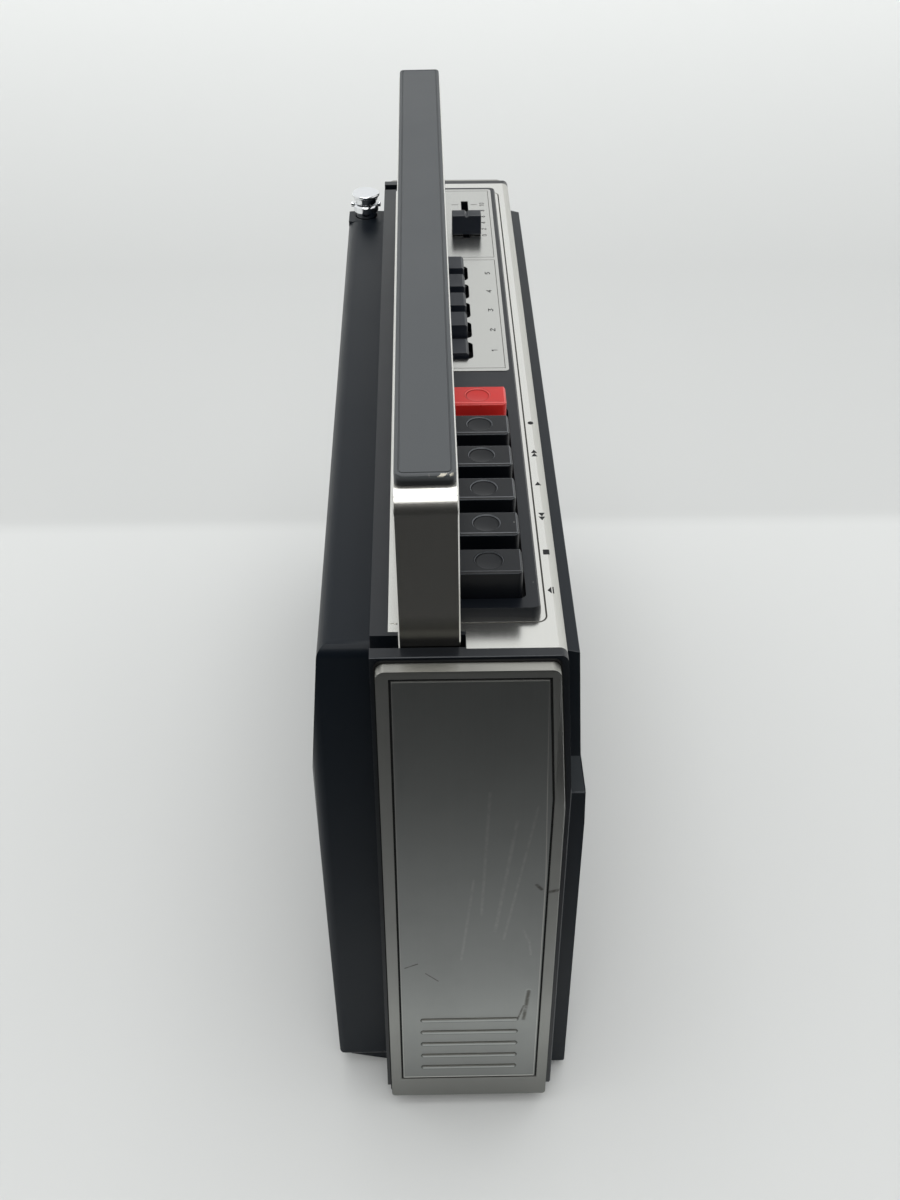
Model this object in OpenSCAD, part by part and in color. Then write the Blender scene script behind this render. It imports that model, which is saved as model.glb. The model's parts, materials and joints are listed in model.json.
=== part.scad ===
// Portable radio cassette recorder
// The origin is on the floor, below the middle of the housing.
// X runs from the left end to the right end, Y from the front to the back, Z up.

/* [Body] */
// Length of the housing between its end caps
body_w = 320; // [312:1:360]
// Height of the top face above the floor
body_top = 206; // [202:1:230]
// Height of the housing's underside above the floor
foot_h = 6; // [5:0.5:9]
// From the middle plane to the flat back face
body_back = 27; // [26.5:0.5:34]
// From the middle plane to the front face at the top
body_front_top = 27; // [26:0.5:28]
// From the middle plane to the front face below its kink
body_front = 30.5; // [30:0.5:34]
// Height of the kink in the front face
kink_z = 151; // [149:1:153]
// Thickness of the two end walls
end_wall = 4; // [3:0.5:5]
// Thickness of the top, bottom, front and back walls
wall = 3; // [2:0.5:4]
// Radius of the front top edge
edge_r = 2.5; // [2:0.5:4]
// Thickness of the silver top panel
panel_t = 1; // [0.8:0.1:1.5]
// Width of the black strip behind the top panel
back_strip = 5; // [3:0.5:7]
// Thickness of a silver end cap
cap_t = 4.5; // [3:0.5:7]
// How far an end cap stays below the top face
cap_drop = 1.4; // [1:0.1:4]

/* [Handle] */
// Width of the steel band
band_w = 16.9; // [14:0.1:17.2]
// Thickness of the steel band
band_t = 1.8; // [1.2:0.1:2.2]
// Outer radius of the two bends
band_r = 6; // [4:0.5:12]
// Height of the band's upper face above the pivot
handle_h = 62; // [56:1:70]
// Depth of the pivot below the top face
pivot_drop = 13; // [12:0.5:15]
// Distance of the pivot behind the middle plane
pivot_y = 10.4; // [9.6:0.1:11]
// Backward lean of the raised handle in degrees
handle_lean = 0.8; // [0:0.1:1.2]
// Thickness of the grip's upper plate
grip_t = 3.1; // [2:0.1:5]
// Distance from the leg's outer face to the end of the grip
grip_inset = 5.6; // [4:0.1:12]
// Thickness of the pad under the band
pad_t = 6; // [3:0.5:8]
// Radius of a pivot pin
pin_r = 2.5; // [2:0.1:3]

/* [Top controls] */
// Height of the black island above the top panel
island_h = 3.4; // [2.5:0.1:5]
// Thickness of the silver control plate
plate_t = 1; // [0.6:0.1:1.4]
// Length of a cassette key along the body
key_l = 11; // [9:0.5:13]
// Depth of a cassette key from front to back
key_d = 18.6; // [15:0.2:19]
// Height of the key tops above the island
key_h = 9.1; // [8:0.1:12]
// Distance between neighbouring cassette keys
key_pitch = 17.85; // [16.5:0.05:18]
// Travel of a cassette key
key_travel = 4.5; // [3:0.5:5]
// Length of a band key along the body
band_key_l = 10.1; // [8:0.1:11]
// Distance between neighbouring band keys
band_key_pitch = 15.18; // [14.5:0.02:15.4]
// Height of a raised band key above the plate
band_key_h = 4.7; // [4:0.1:7]
// Travel of a band key, and how much lower the latched one rests
band_key_travel = 2.8; // [2:0.1:3.2]
// Travel of a slider
slider_travel = 30; // [20:1:32]
// Width of a slider's slot
slot_w = 2.9; // [2.4:0.1:3.6]

/* [Front] */
// Distance from the end of the housing to the bezel
bezel_inset = 12.2; // [11:0.1:13]
// How far the bezel stands out at its top
bezel_out_top = 4; // [3.6:0.1:5]
// How far the lower part of the bezel stands out
bezel_out = 6.1; // [6:0.1:8]
// Wall of the bezel
bezel_wall = 3; // [2.5:0.1:3.4]
// Height of the dial window
dial_h = 28; // [22:1:29]
// Thickness of the dial window
window_t = 2; // [1.5:0.1:2.4]
// Diameter of the tuning knob
knob_d = 34; // [28:1:36]
// How far the knob stands in front of the bezel
knob_out = 9.7; // [8:0.1:12]
// Width of the cassette lid
lid_w = 109.4; // [106:0.2:110]
// Height of the cassette lid
lid_h = 72.4; // [70:0.2:74]
// Thickness of the cassette lid
lid_t = 2.6; // [2.4:0.1:3]
// Distance between the cassette lid and the loudspeaker grille
grille_gap = 12.3; // [10:0.1:18]
// Distance from the loudspeaker grille to the right end of the housing
grille_end = 61; // [60:0.5:67]
// Height of the loudspeaker grille
grille_h = 110; // [108:1:112]
// Distance from the loudspeaker's flange to the nearer edges of the grille
speaker_edge = 3; // [2:0.5:7]

/* [Back] */
// Distance from the end of the housing to the back cover
cover_inset = 13; // [12:0.5:14]
// Depth of the back cover at its kink
cover_d = 19.3; // [18:0.1:24]
// Wall of the back cover
cover_wall = 2.6; // [2:0.1:3]
// Radius of the back cover's edges
cover_r = 4; // [3:0.5:6]
// Width of the battery door
door_w = 150; // [140:1:154]
// Height of the battery door
door_h = 46; // [40:1:48]
// Thickness of the battery door
door_t = 2.4; // [2:0.1:2.6]

/* [Aerial] */
// Radius of the outer aerial tube
aerial_r = 3; // [2.8:0.05:3.2]
// Wall of each aerial tube
aerial_wall = 0.4; // [0.3:0.05:0.45]
// Length of a sliding aerial section
aerial_l = 160; // [140:1:165]
// Diameter of the knob on the aerial's tip
tip_d = 11.8; // [9:0.1:13]

/* [Tape deck] */
// Distance between the two reel spindles
spindle_gap = 42.5; // [42:0.1:43]
// Radius of the flywheel
flywheel_r = 26; // [20:0.5:27]
// Radius of the motor body
motor_r = 16; // [13:0.5:17]
// Radius of the motor pulley
pulley_r = 4; // [3:0.5:6]
// Radius of the capstan
capstan_r = 1.2; // [1:0.1:1.5]
// Radius of the pinch roller
roller_r = 6; // [5:0.5:7]

/* [Fits] */
// Gap between a shaft and its bore, on the radius
run_fit = 0.05; // [0.02:0.01:0.1]
// Gap between other moving pieces
gap = 0.3; // [0.2:0.05:0.4]

/* [Hidden] */
$fn = 64;

key_nodes = ["key_eject", "key_stop", "key_rewind", "key_play", "key_forward", "key_record"];
band_key_nodes = ["band_key_tape", "band_key_long", "band_key_medium", "band_key_short", "band_key_fm"];

// Colours
black = [0.11, 0.12, 0.13];
dark = [0.2, 0.21, 0.22];
silver = [0.72, 0.71, 0.68];
steel = [0.62, 0.62, 0.6];
red = [0.82, 0.2, 0.17];
clear = [0.75, 0.85, 0.9, 0.4];
brass = [0.72, 0.58, 0.3];

// Small step by which a cut runs past a face
cut = 1;

// Main planes
half_w = body_w / 2;
in_w = half_w - end_wall;
in_top = body_top - panel_t - wall;
in_back = body_back - wall;
floor_z = foot_h + wall;
panel_back = body_back - back_strip;

// Handle
leg_x = half_w - end_wall - gap;
pivot_z = body_top - pivot_drop;
leg_r = band_w / 2;
band_bevel = 0.4;
pocket_in = leg_x - band_t - 3.1;
pocket_front = pivot_y - leg_r - 1.3;
pocket_floor = pivot_z - leg_r - 1.5;
pocket_drop = 9.3;
pocket_block = 4;
pin_seat = 2;
boss_r = 5;
grip_half = leg_x - grip_inset;
grip_d = band_w - 0.9;
grip_r = 2.5;

// Top panel and island
panel_inset = 3.4;
notch_w = 10.8;
line_w = 0.5;
line_t = 0.3;
island_left = -half_w + 16.5;
island_right = half_w - 16;
island_front = -20.7;
island_back = 19.5;
island_top = body_top + island_h;
island_slope = 0.8;
plate_front = -18.5;
plate_back = 17.5;
plate_proud = 0.2;
plate_r = 1.5;
plate_top = island_top + plate_proud;

// Cassette keys
key_left = -half_w + 20.9;
key_front = -15.5;
key_back = key_front + key_d;
well_left = key_left - gap;
well_right = key_left + 5 * key_pitch + key_l + 1.4;
well_front = key_front - 1.1;
well_back = key_back + 1.1;
key_top = island_top + key_h;
key_under = key_top - 11;
guide_top = in_top - 4;
guide_t = 3;
guide_rim = 2;
stem_w = 5;
stem_y = key_front + 6.5;
stem_end = guide_top - guide_t - 15;
dish_r = 4;
dish_y = key_front + 9.3;
dish_edge = 0.3;
dish_ball = 24;
function key_x(i) = key_left + i * key_pitch;

// The length that the key well, the band keys and the slots leave free is shared out between them
band_hole_l = 12;
band_row = 4 * band_key_pitch + band_hole_l;
slider_stem_l = 3;
slot_l = slider_travel + slider_stem_l + 2.8;
plate_right = half_w - 18;
free_l = plate_right - well_right - band_row - slot_l;
plate_left = well_right + 0.3405 * free_l;
band_left = plate_left + 0.1177 * free_l;
slot_end = plate_right - 0.1762 * free_l;
slot_start = slot_end - slot_l;

// Band keys
band_hole_front = -6.4;
band_hole_back = 7.6;
band_key_front = -4.8;
band_key_back = 6;
band_key_top = plate_top + band_key_h;
band_key_under = band_key_top - 11.3;
switch_top = band_key_under - band_key_travel - 3;
switch_h = 18;
band_stem = 4;
band_stem_l = 10;
function band_x(i) = band_left + i * band_key_pitch + (band_hole_l - band_key_l) / 2;

// Sliders
volume_y = -7;
tone_y = 8.7;
slider_stem_w = slot_w - 0.6;
slider_rest = 3.4;
slider_x = slot_start + 0.8 + slider_stem_l / 2 + slider_rest;
slider_top = plate_top + 8;
slider_d = 11.7;
pot_h = 12;
pot_d = 8;

// Bezel: its outline follows the front face of the housing
bezel_half = half_w - bezel_inset;
bezel_top = body_top - 8.5;
step_z = kink_z + 5;
low_z = kink_z - 9;
bezel_bottom = foot_h - 3.5;
frame_open_half = half_w - 16;
frame_open_bottom = foot_h + 6;
frame_open_top = body_top - 10;
function front_y(z) = z < kink_z ? -body_front
    : -body_front + (z - kink_z) * (body_front - body_front_top) / (body_top - kink_z);
bezel_face = -body_front - bezel_out;
bezel_back = bezel_face + bezel_wall;
bezel_step = -body_front - 3.5;
bezel_lip = front_y(bezel_top) - bezel_out_top;
// Front face of the leaning upper zone at height z
function zone_y(z) = bezel_lip + (bezel_top - z) * (bezel_step - bezel_lip) / (bezel_top - step_z);

// Dial
dial_half = half_w - 23;
dial_top = bezel_top - 7.5;
dial_bottom = dial_top - dial_h;
dial_ledge = 2;
pointer_in = 3.2;
pointer_t = 1;
scale_in = 5.2;
scale_t = 1;
scale_top = dial_top + 3;
scale_bottom = dial_bottom - 4;
pointer_w = 1.2;

// Tuning
knob_x = half_w - 35;
knob_z = foot_h + 75;
knob_face = bezel_face - knob_out;
knob_back = bezel_face - gap;
shaft_r = 3;
shaft_end = -8;
drum_x = half_w - 48;
drum_z = knob_z + 54;
drum_r = 24;
drum_front = -16;
drum_t = 4.5;
can_front = -8;

// Cassette lid, hinged on two stubs at its lower edge
lid_left = -half_w + 19.3;
lid_right = lid_left + lid_w;
lid_face = bezel_face - 0.6;
lid_back = lid_face + lid_t;
lid_bottom = foot_h + 46.3;
lid_top = lid_bottom + lid_h;
hinge_r = lid_t;
hinge_y = lid_back;
hinge_z = lid_bottom + hinge_r;
stub_r = 1.5;
stub_l = 3;
lid_win_w = 64;
lid_win_h = 34;
lid_win_bottom = lid_bottom + 18;
lid_mid = (lid_left + lid_right) / 2;

// Loudspeaker, behind a grille that fills the place between the lid and the knob
speaker_z = foot_h + 65;
grille_left = lid_right + grille_gap;
grille_right = half_w - grille_end;
grille_w = grille_right - grille_left;
grille_bottom = speaker_z - grille_h / 2;
grille_top = grille_bottom + grille_h;
grille_seat = bezel_face + 1;
grille_face = bezel_face - 0.4;
grille_edge = 4;
grille_side = 5;
grille_rows = 23;
grille_pitch = (grille_h - 2 * grille_edge) / grille_rows;
speaker_x = grille_left + grille_w / 2;
speaker_r = min(grille_w, grille_h) / 2 - speaker_edge;
basket_t = 1.5;
flange_w = 8;
surround_gap = 1;
surround_w = 5;
cone_t = 1;
coil_r = 12.2;
coil_gap = 0.8;
cone_depth = 18;
magnet_r = 27;
magnet_t = 15;

// Tape deck
deck_left = -half_w + 18;
deck_right = -half_w + 130;
deck_bottom = foot_h + 34;
deck_top = body_top - 30;
deck_front = bezel_back + 13.1;
deck_t = 1.5;
deck_back = deck_front + deck_t;
spindle_z = lid_bottom + 35.7;
spindle_r = 2;
capstan_x = lid_mid + 18;
capstan_z = spindle_z + 31;
motor_x = lid_mid - 32;
motor_z = lid_bottom + 22.7;
motor_front = deck_back + 9;
motor_l = 19;
motor_shaft_r = 1;
belt_front = deck_back + 3.5;
belt_w = 2;
belt_t = 0.8;
belt_gap = 0.1;
groove_d = 1;
wheel_front = deck_back + 2;
wheel_t = 5;
bridge_back = deck_front - gap;
bridge_t = 2.2;
bridge_front = bridge_back - bridge_t;
bridge_bottom = spindle_z + 40;
bridge_top = bridge_bottom + 22;
bridge_left = lid_mid - 28;
bridge_right = lid_mid + 30;
bridge_pins = [bridge_left + 7, bridge_right - 7];
bridge_pin_z = bridge_top - 10;
roller_pin_r = 1.5;
guide_pin_r = 2;
roller_z = capstan_z + capstan_r + roller_r + key_travel + 0.5;
post_r = 3.5;

// Back cover
cover_half = half_w - cover_inset;
cover_top = body_top - 7.5;
cover_kink = body_back + cover_d;
cover_kink_z = kink_z - 3;
cover_top_y = cover_kink - 3.8;
cover_low_y = cover_kink - 2;
cover_bottom = foot_h - 2.4;
cover_low_z = cover_bottom + 4.6;
base_inset = 1.5;
cover_lean = (cover_kink - cover_low_y) / (cover_kink_z - cover_low_z);
function cover_y(z) = cover_low_y + (z - cover_low_z) * cover_lean;
door_bottom = foot_h + 10;
door_axis_y = cover_y(door_bottom) - door_t;
door_axis_z = door_bottom + door_t;
door_open = gap;
bay_wall = 2;
bay_side = 2;
bay_front = 11;
bay_back = 38;
bay_top = door_bottom + door_h + 4;
screw_r = 1.5;
screw_head_r = 3;
screw_y = body_back + 5;
screw_in = 11;
post_depth = 13;
screw_x = half_w - 29;
screw_low = foot_h + 14;
screw_high = body_top - 18;
screw_spots = [[-screw_x, screw_low], [screw_x, screw_low], [-screw_x, screw_high], [0, screw_high],
               [screw_x, screw_high]];

// The battery bay and the transformer share the floor between the two lower screw posts
core_w = 48;
core_d = 19.5;
core_h = 40;
floor_free = 2 * (screw_x - boss_r) - (door_w + 2 * bay_side + 2 * bay_wall) - core_w;
door_left = -screw_x + boss_r + 0.5217 * floor_free + bay_wall + bay_side;
bay_left = door_left - bay_side;
bay_right = door_left + door_w + bay_side;
core_left = bay_right + bay_wall + 0.2174 * floor_free;

// Aerial
aerial_x = half_w - 17.5;
aerial_y = body_back + 8;
section_1_r = aerial_r - aerial_wall - run_fit;
section_2_r = section_1_r - aerial_wall - run_fit;
rod_r = section_2_r - aerial_wall - run_fit;
collar_top = body_top - 2.4;
tube_spare = 12;
aerial_bottom = collar_top - aerial_l - tube_spare;
collar_r = 5.3;
collar_h = 3.2;
neck_r = 4.4;
recess_floor = cover_top - 6.5;
recess_side = collar_r + 2.2;
recess_depth = collar_r + 0.5;
recess_wall = 1.2;
tip_bottom = collar_top + 0.4;
tip_h = 4.5;
nub_r = 1.1;
nub_in = 0.3;
nub_out = 1;
aerial_step = 1 + gap;

// Radio board
board_left = -half_w + 148;
board_right = half_w - 36;
board_front = 12;
board_t = 1.6;
board_bottom = foot_h + 112;
board_top = body_top - 24;
rod_aerial_r = 5;
rod_aerial_z = body_top - 36;
rib_t = 3;
rib_back = board_front + board_t + 6.4;
rib_spots = [half_w - 130, half_w - 70];

// Mains
inlet_x = half_w - 50;
inlet_z = foot_h + 74;
inlet_w = 9;
inlet_h = 8.4;
inlet_rim = 2;
inlet_seat = cover_kink - 8;

// Helpers
module block(from, to) {
    translate(from) cube(to - from);
}

// A Y-Z outline drawn along X
module along_x(x0, x1) {
    translate([x0, 0, 0]) rotate([90, 0, 90]) linear_extrude(x1 - x0) children();
}

// An X-Z outline drawn along Y
module along_y(y0, y1) {
    translate([0, y1, 0]) rotate([90, 0, 0]) linear_extrude(y1 - y0) children();
}

module rod_x(r, x0, x1, y, z) {
    translate([x0, y, z]) rotate([0, 90, 0]) cylinder(r = r, h = x1 - x0);
}

module rod_y(r, x, y0, y1, z) {
    translate([x, y0, z]) rotate([-90, 0, 0]) cylinder(r = r, h = y1 - y0);
}

module rod_z(r, x, y, z0, z1) {
    translate([x, y, z0]) cylinder(r = r, h = z1 - z0);
}

// Turned shape about an axis along Y through x, z, starting at y
module turned_y(x, y, z) {
    translate([x, y, z]) rotate([-90, 0, 0]) rotate_extrude() children();
}

module round_rect(x0, x1, y0, y1, r) {
    translate([x0 + r, y0]) square([x1 - x0 - 2 * r, y1 - y0]);
    translate([x0, y0 + r]) square([x1 - x0, y1 - y0 - 2 * r]);
    for (x = [x0 + r, x1 - r]) for (y = [y0 + r, y1 - r]) translate([x, y]) circle(r);
}

// Bar with round ends along the first axis, its half width is r
module round_bar(x0, x1, y, r) {
    translate([x0 + r, y - r]) square([x1 - x0 - 2 * r, 2 * r]);
    for (x = [x0 + r, x1 - r]) translate([x, y]) circle(r);
}

module round_plate(x0, x1, y0, y1, z0, z1, r) {
    translate([0, 0, z0]) linear_extrude(z1 - z0) round_rect(x0, x1, y0, y1, r);
}

// Both ends of the body
module both_ends() {
    children();
    mirror([1, 0, 0]) children();
}

function arc(cy, cz, r, a0, a1) =
    [for (i = [0:6]) let (a = a0 + (a1 - a0) * i / 6) [cy + r * cos(a), cz + r * sin(a)]];

// Housing
module housing_outline() {
    polygon(concat(
        [[body_back, foot_h], [body_back, body_top]],
        arc(-body_front_top + edge_r, body_top - edge_r, edge_r, 90, 180),
        [[-body_front, kink_z], [-body_front, foot_h]]
    ));
}

module cavity_outline() {
    polygon([
        [in_back, floor_z], [in_back, in_top], [-body_front_top + wall, in_top],
        [-body_front + wall, kink_z], [-body_front + wall, floor_z]
    ]);
}

// The panel lies in the top face and wraps round the front top edge
module panel_outline() {
    difference() {
        intersection() {
            housing_outline();
            translate([-body_front_top - cut, body_top - edge_r])
                square([body_front_top + cut + panel_back, edge_r + cut]);
        }
        polygon(concat(
            [[panel_back + cut, body_top - edge_r - cut], [panel_back + cut, body_top - panel_t]],
            arc(-body_front_top + edge_r, body_top - edge_r, edge_r - panel_t, 90, 180),
            [[-body_front_top + panel_t, body_top - edge_r - cut]]
        ));
    }
}

module panel_blank() {
    difference() {
        along_x(-half_w + panel_inset, half_w - panel_inset) panel_outline();
        both_ends()
            block([half_w - notch_w, pocket_front, body_top - wall], [half_w, body_back, body_top + cut]);
    }
}

module pocket_outline() {
    polygon([
        [pocket_front, body_top + cut], [pocket_front, pocket_floor], [pivot_y, pocket_floor],
        [body_back + cut, pocket_floor - pocket_drop], [body_back + cut, body_top + cut]
    ]);
}

module handle_pockets() {
    both_ends() difference() {
        along_x(pocket_in, in_w) pocket_outline();
        rod_x(boss_r, pocket_in - cut, leg_x - band_t - gap, pivot_y, pivot_z);
    }
}

// Openings in the top wall for the keys and sliders, a little wider by m
module control_openings(m, z0, z1) {
    block([well_left - m, well_front - m, z0], [well_right + m, well_back + m, z1]);
    block([band_left - m, band_hole_front - m, z0],
          [band_left + 4 * band_key_pitch + band_hole_l + m, band_hole_back + m, z1]);
    for (y = [volume_y, tone_y])
        block([slot_start - m, y - slot_w / 2 - m, z0], [slot_end + m, y + slot_w / 2 + m, z1]);
}

module battery_bay() {
    difference() {
        union() {
            block([bay_left - bay_wall, bay_front, foot_h + cut],
                  [bay_right + bay_wall, body_back - cut, bay_top + bay_wall]);
            block([bay_left - bay_wall, bay_front, door_bottom - 5],
                  [bay_right + bay_wall, bay_back, bay_top + bay_wall]);
        }
        block([bay_left, bay_front + bay_wall, door_bottom - 2.5], [bay_right, bay_back + cut, bay_top]);
    }
}

module cover_posts() {
    for (p = screw_spots) {
        rod_y(boss_r, p.x, body_back - post_depth, body_back, p.y);
        z = p.y > body_top / 2 ? in_top + cut : floor_z - cut;
        block([p.x - rib_t / 2, body_back - post_depth, min(z, p.y)],
              [p.x + rib_t / 2, in_back + cut, max(z, p.y)]);
    }
}

module housing_frame() {
    color(black) difference() {
        union() {
            difference() {
                along_x(-half_w, half_w) housing_outline();
                along_x(-in_w, in_w) cavity_outline();
                along_y(-body_front - cut, 0)
                    translate([-frame_open_half, frame_open_bottom])
                    square([2 * frame_open_half, frame_open_top - frame_open_bottom]);
                along_y(0, body_back + cut)
                    translate([-frame_open_half, frame_open_bottom])
                    square([2 * frame_open_half, cover_top - 6 - frame_open_bottom]);
            }
            both_ends() along_x(pocket_in - pocket_block, in_w + cut / 2) polygon([
                [pocket_front - wall, in_top + cut / 2], [pocket_front - wall, pocket_floor - wall],
                [pivot_y, pocket_floor - wall], [in_back + cut, pocket_floor - pocket_drop - wall],
                [in_back + cut, in_top + cut / 2]
            ]);
            cover_posts();
            battery_bay();
            for (x = rib_spots)
                block([x, board_front + board_t, rod_aerial_z - 12], [x + rib_t, rib_back, in_top + cut]);
        }
        panel_blank();
        control_openings(1, in_top - cut, body_top + cut);
        handle_pockets();
        both_ends() rod_x(pin_r, pocket_in - pocket_block + 1, in_w + pin_seat, pivot_y, pivot_z);
        for (p = screw_spots) rod_y(screw_r, p.x, body_back - screw_in, body_back + cut, p.y);
    }
}

module end_cap() {
    front_top = body_front_top - 2.2;
    front_low = body_front - 2.1;
    cap_top = body_top - cap_drop;
    back = body_back - 1.6;
    cap_z = foot_h + 0.1;
    rib_gap = 6.65;
    rib_out = 0.4;
    difference() {
        union() {
            intersection() {
                along_x(half_w, half_w + cap_t) polygon(concat(
                    arc(back - 2.5, cap_top - 2.5, 2.5, 0, 90),
                    arc(-front_top + 2.5, cap_top - 2.5, 2.5, 90, 180),
                    [[-front_low, kink_z]],
                    arc(-front_low + 1.5, cap_z + 1.5, 1.5, 180, 270),
                    arc(back - 1.5, cap_z + 1.5, 1.5, 270, 360)
                ));
                along_y(-front_low - cut, back + cut) polygon([
                    [half_w - cut, 0], [half_w + cap_t - 0.6, 0], [half_w + cap_t, cap_z + 0.6],
                    [half_w + cap_t, cap_top - 0.6], [half_w + cap_t - 0.6, cap_top], [half_w - cut, cap_top]
                ]);
            }
            for (i = [0:4])
                along_x(half_w + cap_t - cut, half_w + cap_t + rib_out)
                    round_bar(-17.4, 14.7, cap_z + 17.1 + i * rib_gap, 0.7);
        }
        along_x(half_w + cap_t - line_t, half_w + cap_t + cut) difference() {
            cap_line(0);
            cap_line(0.7);
        }
    }
}

// Engraved frame on an end cap, drawn in by m
module cap_line(m) {
    low = foot_h + 10.3 + m;
    top = body_top - 3.9 - m;
    back = body_back - 5.1 - m;
    polygon([[back, low], [back, top], [-body_front_top + 4.6 + m, top],
             [-body_front + 5.4 + m, kink_z + 3.8], [-body_front + 5.6 + m, low]]);
}

module end_cap_left() {
    color(silver) mirror([1, 0, 0]) end_cap();
}

module end_cap_right() {
    color(silver) end_cap();
}

module top_panel() {
    x0 = island_left - 2.5;
    x1 = island_right + 3.2;
    y0 = island_front - 1.6;
    low = body_top - line_t;
    color(silver) difference() {
        panel_blank();
        control_openings(1, body_top - panel_t - cut, body_top + cut);
        difference() {
            round_plate(x0, x1, y0, panel_back + cut, low, body_top + cut, 3);
            round_plate(x0 + line_w, x1 - line_w, y0 + line_w, panel_back + 2 * cut, low - cut,
                        body_top + 2 * cut, 2.5);
        }
    }
}

module control_island() {
    color(black) difference() {
        intersection() {
            round_plate(island_left, island_right, island_front, island_back, body_top, island_top, 3);
            along_x(island_left, island_right) polygon([
                [island_front, body_top], [island_back, body_top], [island_back, island_top - 0.6],
                [island_back - 0.6, island_top], [island_front + island_slope, island_top],
                [island_front + 0.3, island_top - 0.6]
            ]);
        }
        round_plate(well_left, well_right, well_front, well_back, body_top - cut, island_top + cut, 2);
        control_holes(body_top - cut, island_top + cut);
        round_plate(plate_left, plate_right, plate_front, plate_back, plate_top - plate_t, island_top + cut,
                    plate_r);
    }
}

module control_holes(z0, z1) {
    for (i = [0:4]) {
        x = band_left + i * band_key_pitch;
        round_plate(x, x + band_hole_l, band_hole_front, band_hole_back, z0, z1, 2);
    }
    for (y = [volume_y, tone_y])
        block([slot_start, y - slot_w / 2, z0], [slot_end, y + slot_w / 2, z1]);
}

module control_plate() {
    color(silver) difference() {
        round_plate(plate_left, plate_right, plate_front, plate_back, plate_top - plate_t, plate_top,
                    plate_r);
        control_holes(plate_top - plate_t - cut, plate_top + cut);
    }
}

// Keys
// Round dish in a key's top, with a sharp edge and a gently hollow bottom
module key_dish(x) {
    ball_z = key_top - dish_edge + sqrt(pow(dish_ball, 2) - pow(dish_r, 2));
    intersection() {
        translate([x, dish_y, ball_z]) sphere(r = dish_ball);
        rod_z(dish_r, x, dish_y, key_top - 2, key_top + cut);
    }
}

module tape_key(i) {
    x = key_x(i);
    mid = x + key_l / 2;
    soft = 0.6;
    color(i == 5 ? red : black) {
        difference() {
            intersection() {
                round_plate(x, x + key_l, key_front, key_back, key_under, key_top, 1.5);
                along_y(key_front, key_back) polygon([
                    [x, key_under], [x + key_l, key_under], [x + key_l, key_top - soft],
                    [x + key_l - soft, key_top], [x + soft, key_top], [x, key_top - soft]
                ]);
                along_x(x, x + key_l) polygon([
                    [key_front, key_under], [key_back, key_under], [key_back, key_top - soft],
                    [key_back - soft, key_top], [key_front + soft, key_top], [key_front, key_top - soft]
                ]);
            }
            key_dish(mid);
        }
        block([mid - stem_w / 2, stem_y, stem_end], [mid + stem_w / 2, stem_y + stem_w, key_under + cut]);
    }
}

module key_guide() {
    x0 = well_left - 1;
    x1 = well_right + 1;
    y0 = well_front - 1;
    y1 = well_back + 1;
    color(dark) difference() {
        block([x0 - guide_rim, y0 - guide_rim, guide_top - guide_t],
              [x1 + guide_rim, y1 + guide_rim, in_top]);
        block([x0, y0, guide_top], [x1, y1, in_top + cut]);
        for (i = [0:5]) {
            mid = key_x(i) + key_l / 2;
            block([mid - stem_w / 2 - gap, stem_y - gap, guide_top - guide_t - cut],
                  [mid + stem_w / 2 + gap, stem_y + stem_w + gap, guide_top + cut]);
        }
    }
}

// The first band key rests latched, one travel lower than the others
module band_key(i) {
    x = band_x(i);
    mid = x + band_key_l / 2;
    drop = i == 0 ? band_key_travel : 0;
    color(black) translate([0, 0, -drop]) {
        intersection() {
            round_plate(x, x + band_key_l, band_key_front, band_key_back, band_key_under, band_key_top, 0.8);
            along_x(x, x + band_key_l) polygon([
                [band_key_front, band_key_under], [band_key_back, band_key_under],
                [band_key_back, band_key_top], [band_key_front + 0.8, band_key_top],
                [band_key_front, band_key_top - 0.8]
            ]);
        }
        block([mid - band_stem / 2, -band_stem / 2, switch_top - band_stem_l],
              [mid + band_stem / 2, band_stem / 2, band_key_under + cut]);
    }
}

module band_switch() {
    x0 = band_left - 3;
    x1 = band_left + 4 * band_key_pitch + band_hole_l + 3;
    color([0.75, 0.72, 0.62]) difference() {
        union() {
            block([x0, -7, switch_top - switch_h], [x1, 8, switch_top]);
            for (x = [x0, x1 - 1.8]) block([x, -7, switch_top - cut], [x + 1.8, 8, in_top]);
        }
        for (i = [0:4]) {
            mid = band_x(i) + band_key_l / 2;
            half = band_stem / 2 + gap;
            block([mid - half, -half, switch_top - band_stem_l - 2 * band_key_travel - cut],
                  [mid + half, half, switch_top + cut]);
        }
    }
}

module slider_knob(y) {
    under = plate_top + gap;
    color(black) difference() {
        union() {
            along_y(y - slider_d / 2, y + slider_d / 2) polygon([
                [slider_x - 3.6, under], [slider_x + 4.2, under], [slider_x + 4.2, under + 1.5],
                [slider_x + 3.1, slider_top], [slider_x - 2.4, slider_top], [slider_x - 3.6, under + 2]
            ]);
            block([slider_x - slider_stem_l / 2, y - slider_stem_w / 2, in_top - 5],
                  [slider_x + slider_stem_l / 2, y + slider_stem_w / 2, under + cut]);
        }
        block([slider_x - 5, y - 0.5, slider_top - 0.6], [slider_x + 5, y + 0.5, slider_top + cut]);
    }
}

module volume_slider() {
    slider_knob(volume_y);
}

module tone_slider() {
    slider_knob(tone_y);
}

module slide_controls() {
    color(steel) for (y = [volume_y, tone_y]) difference() {
        block([slot_start - 5, y - pot_d / 2, in_top - pot_h], [slot_end + 5, y + pot_d / 2, in_top]);
        block([slot_start, y - slot_w / 2, in_top - 5 - gap], [slot_end, y + slot_w / 2, in_top + cut]);
    }
}

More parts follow.
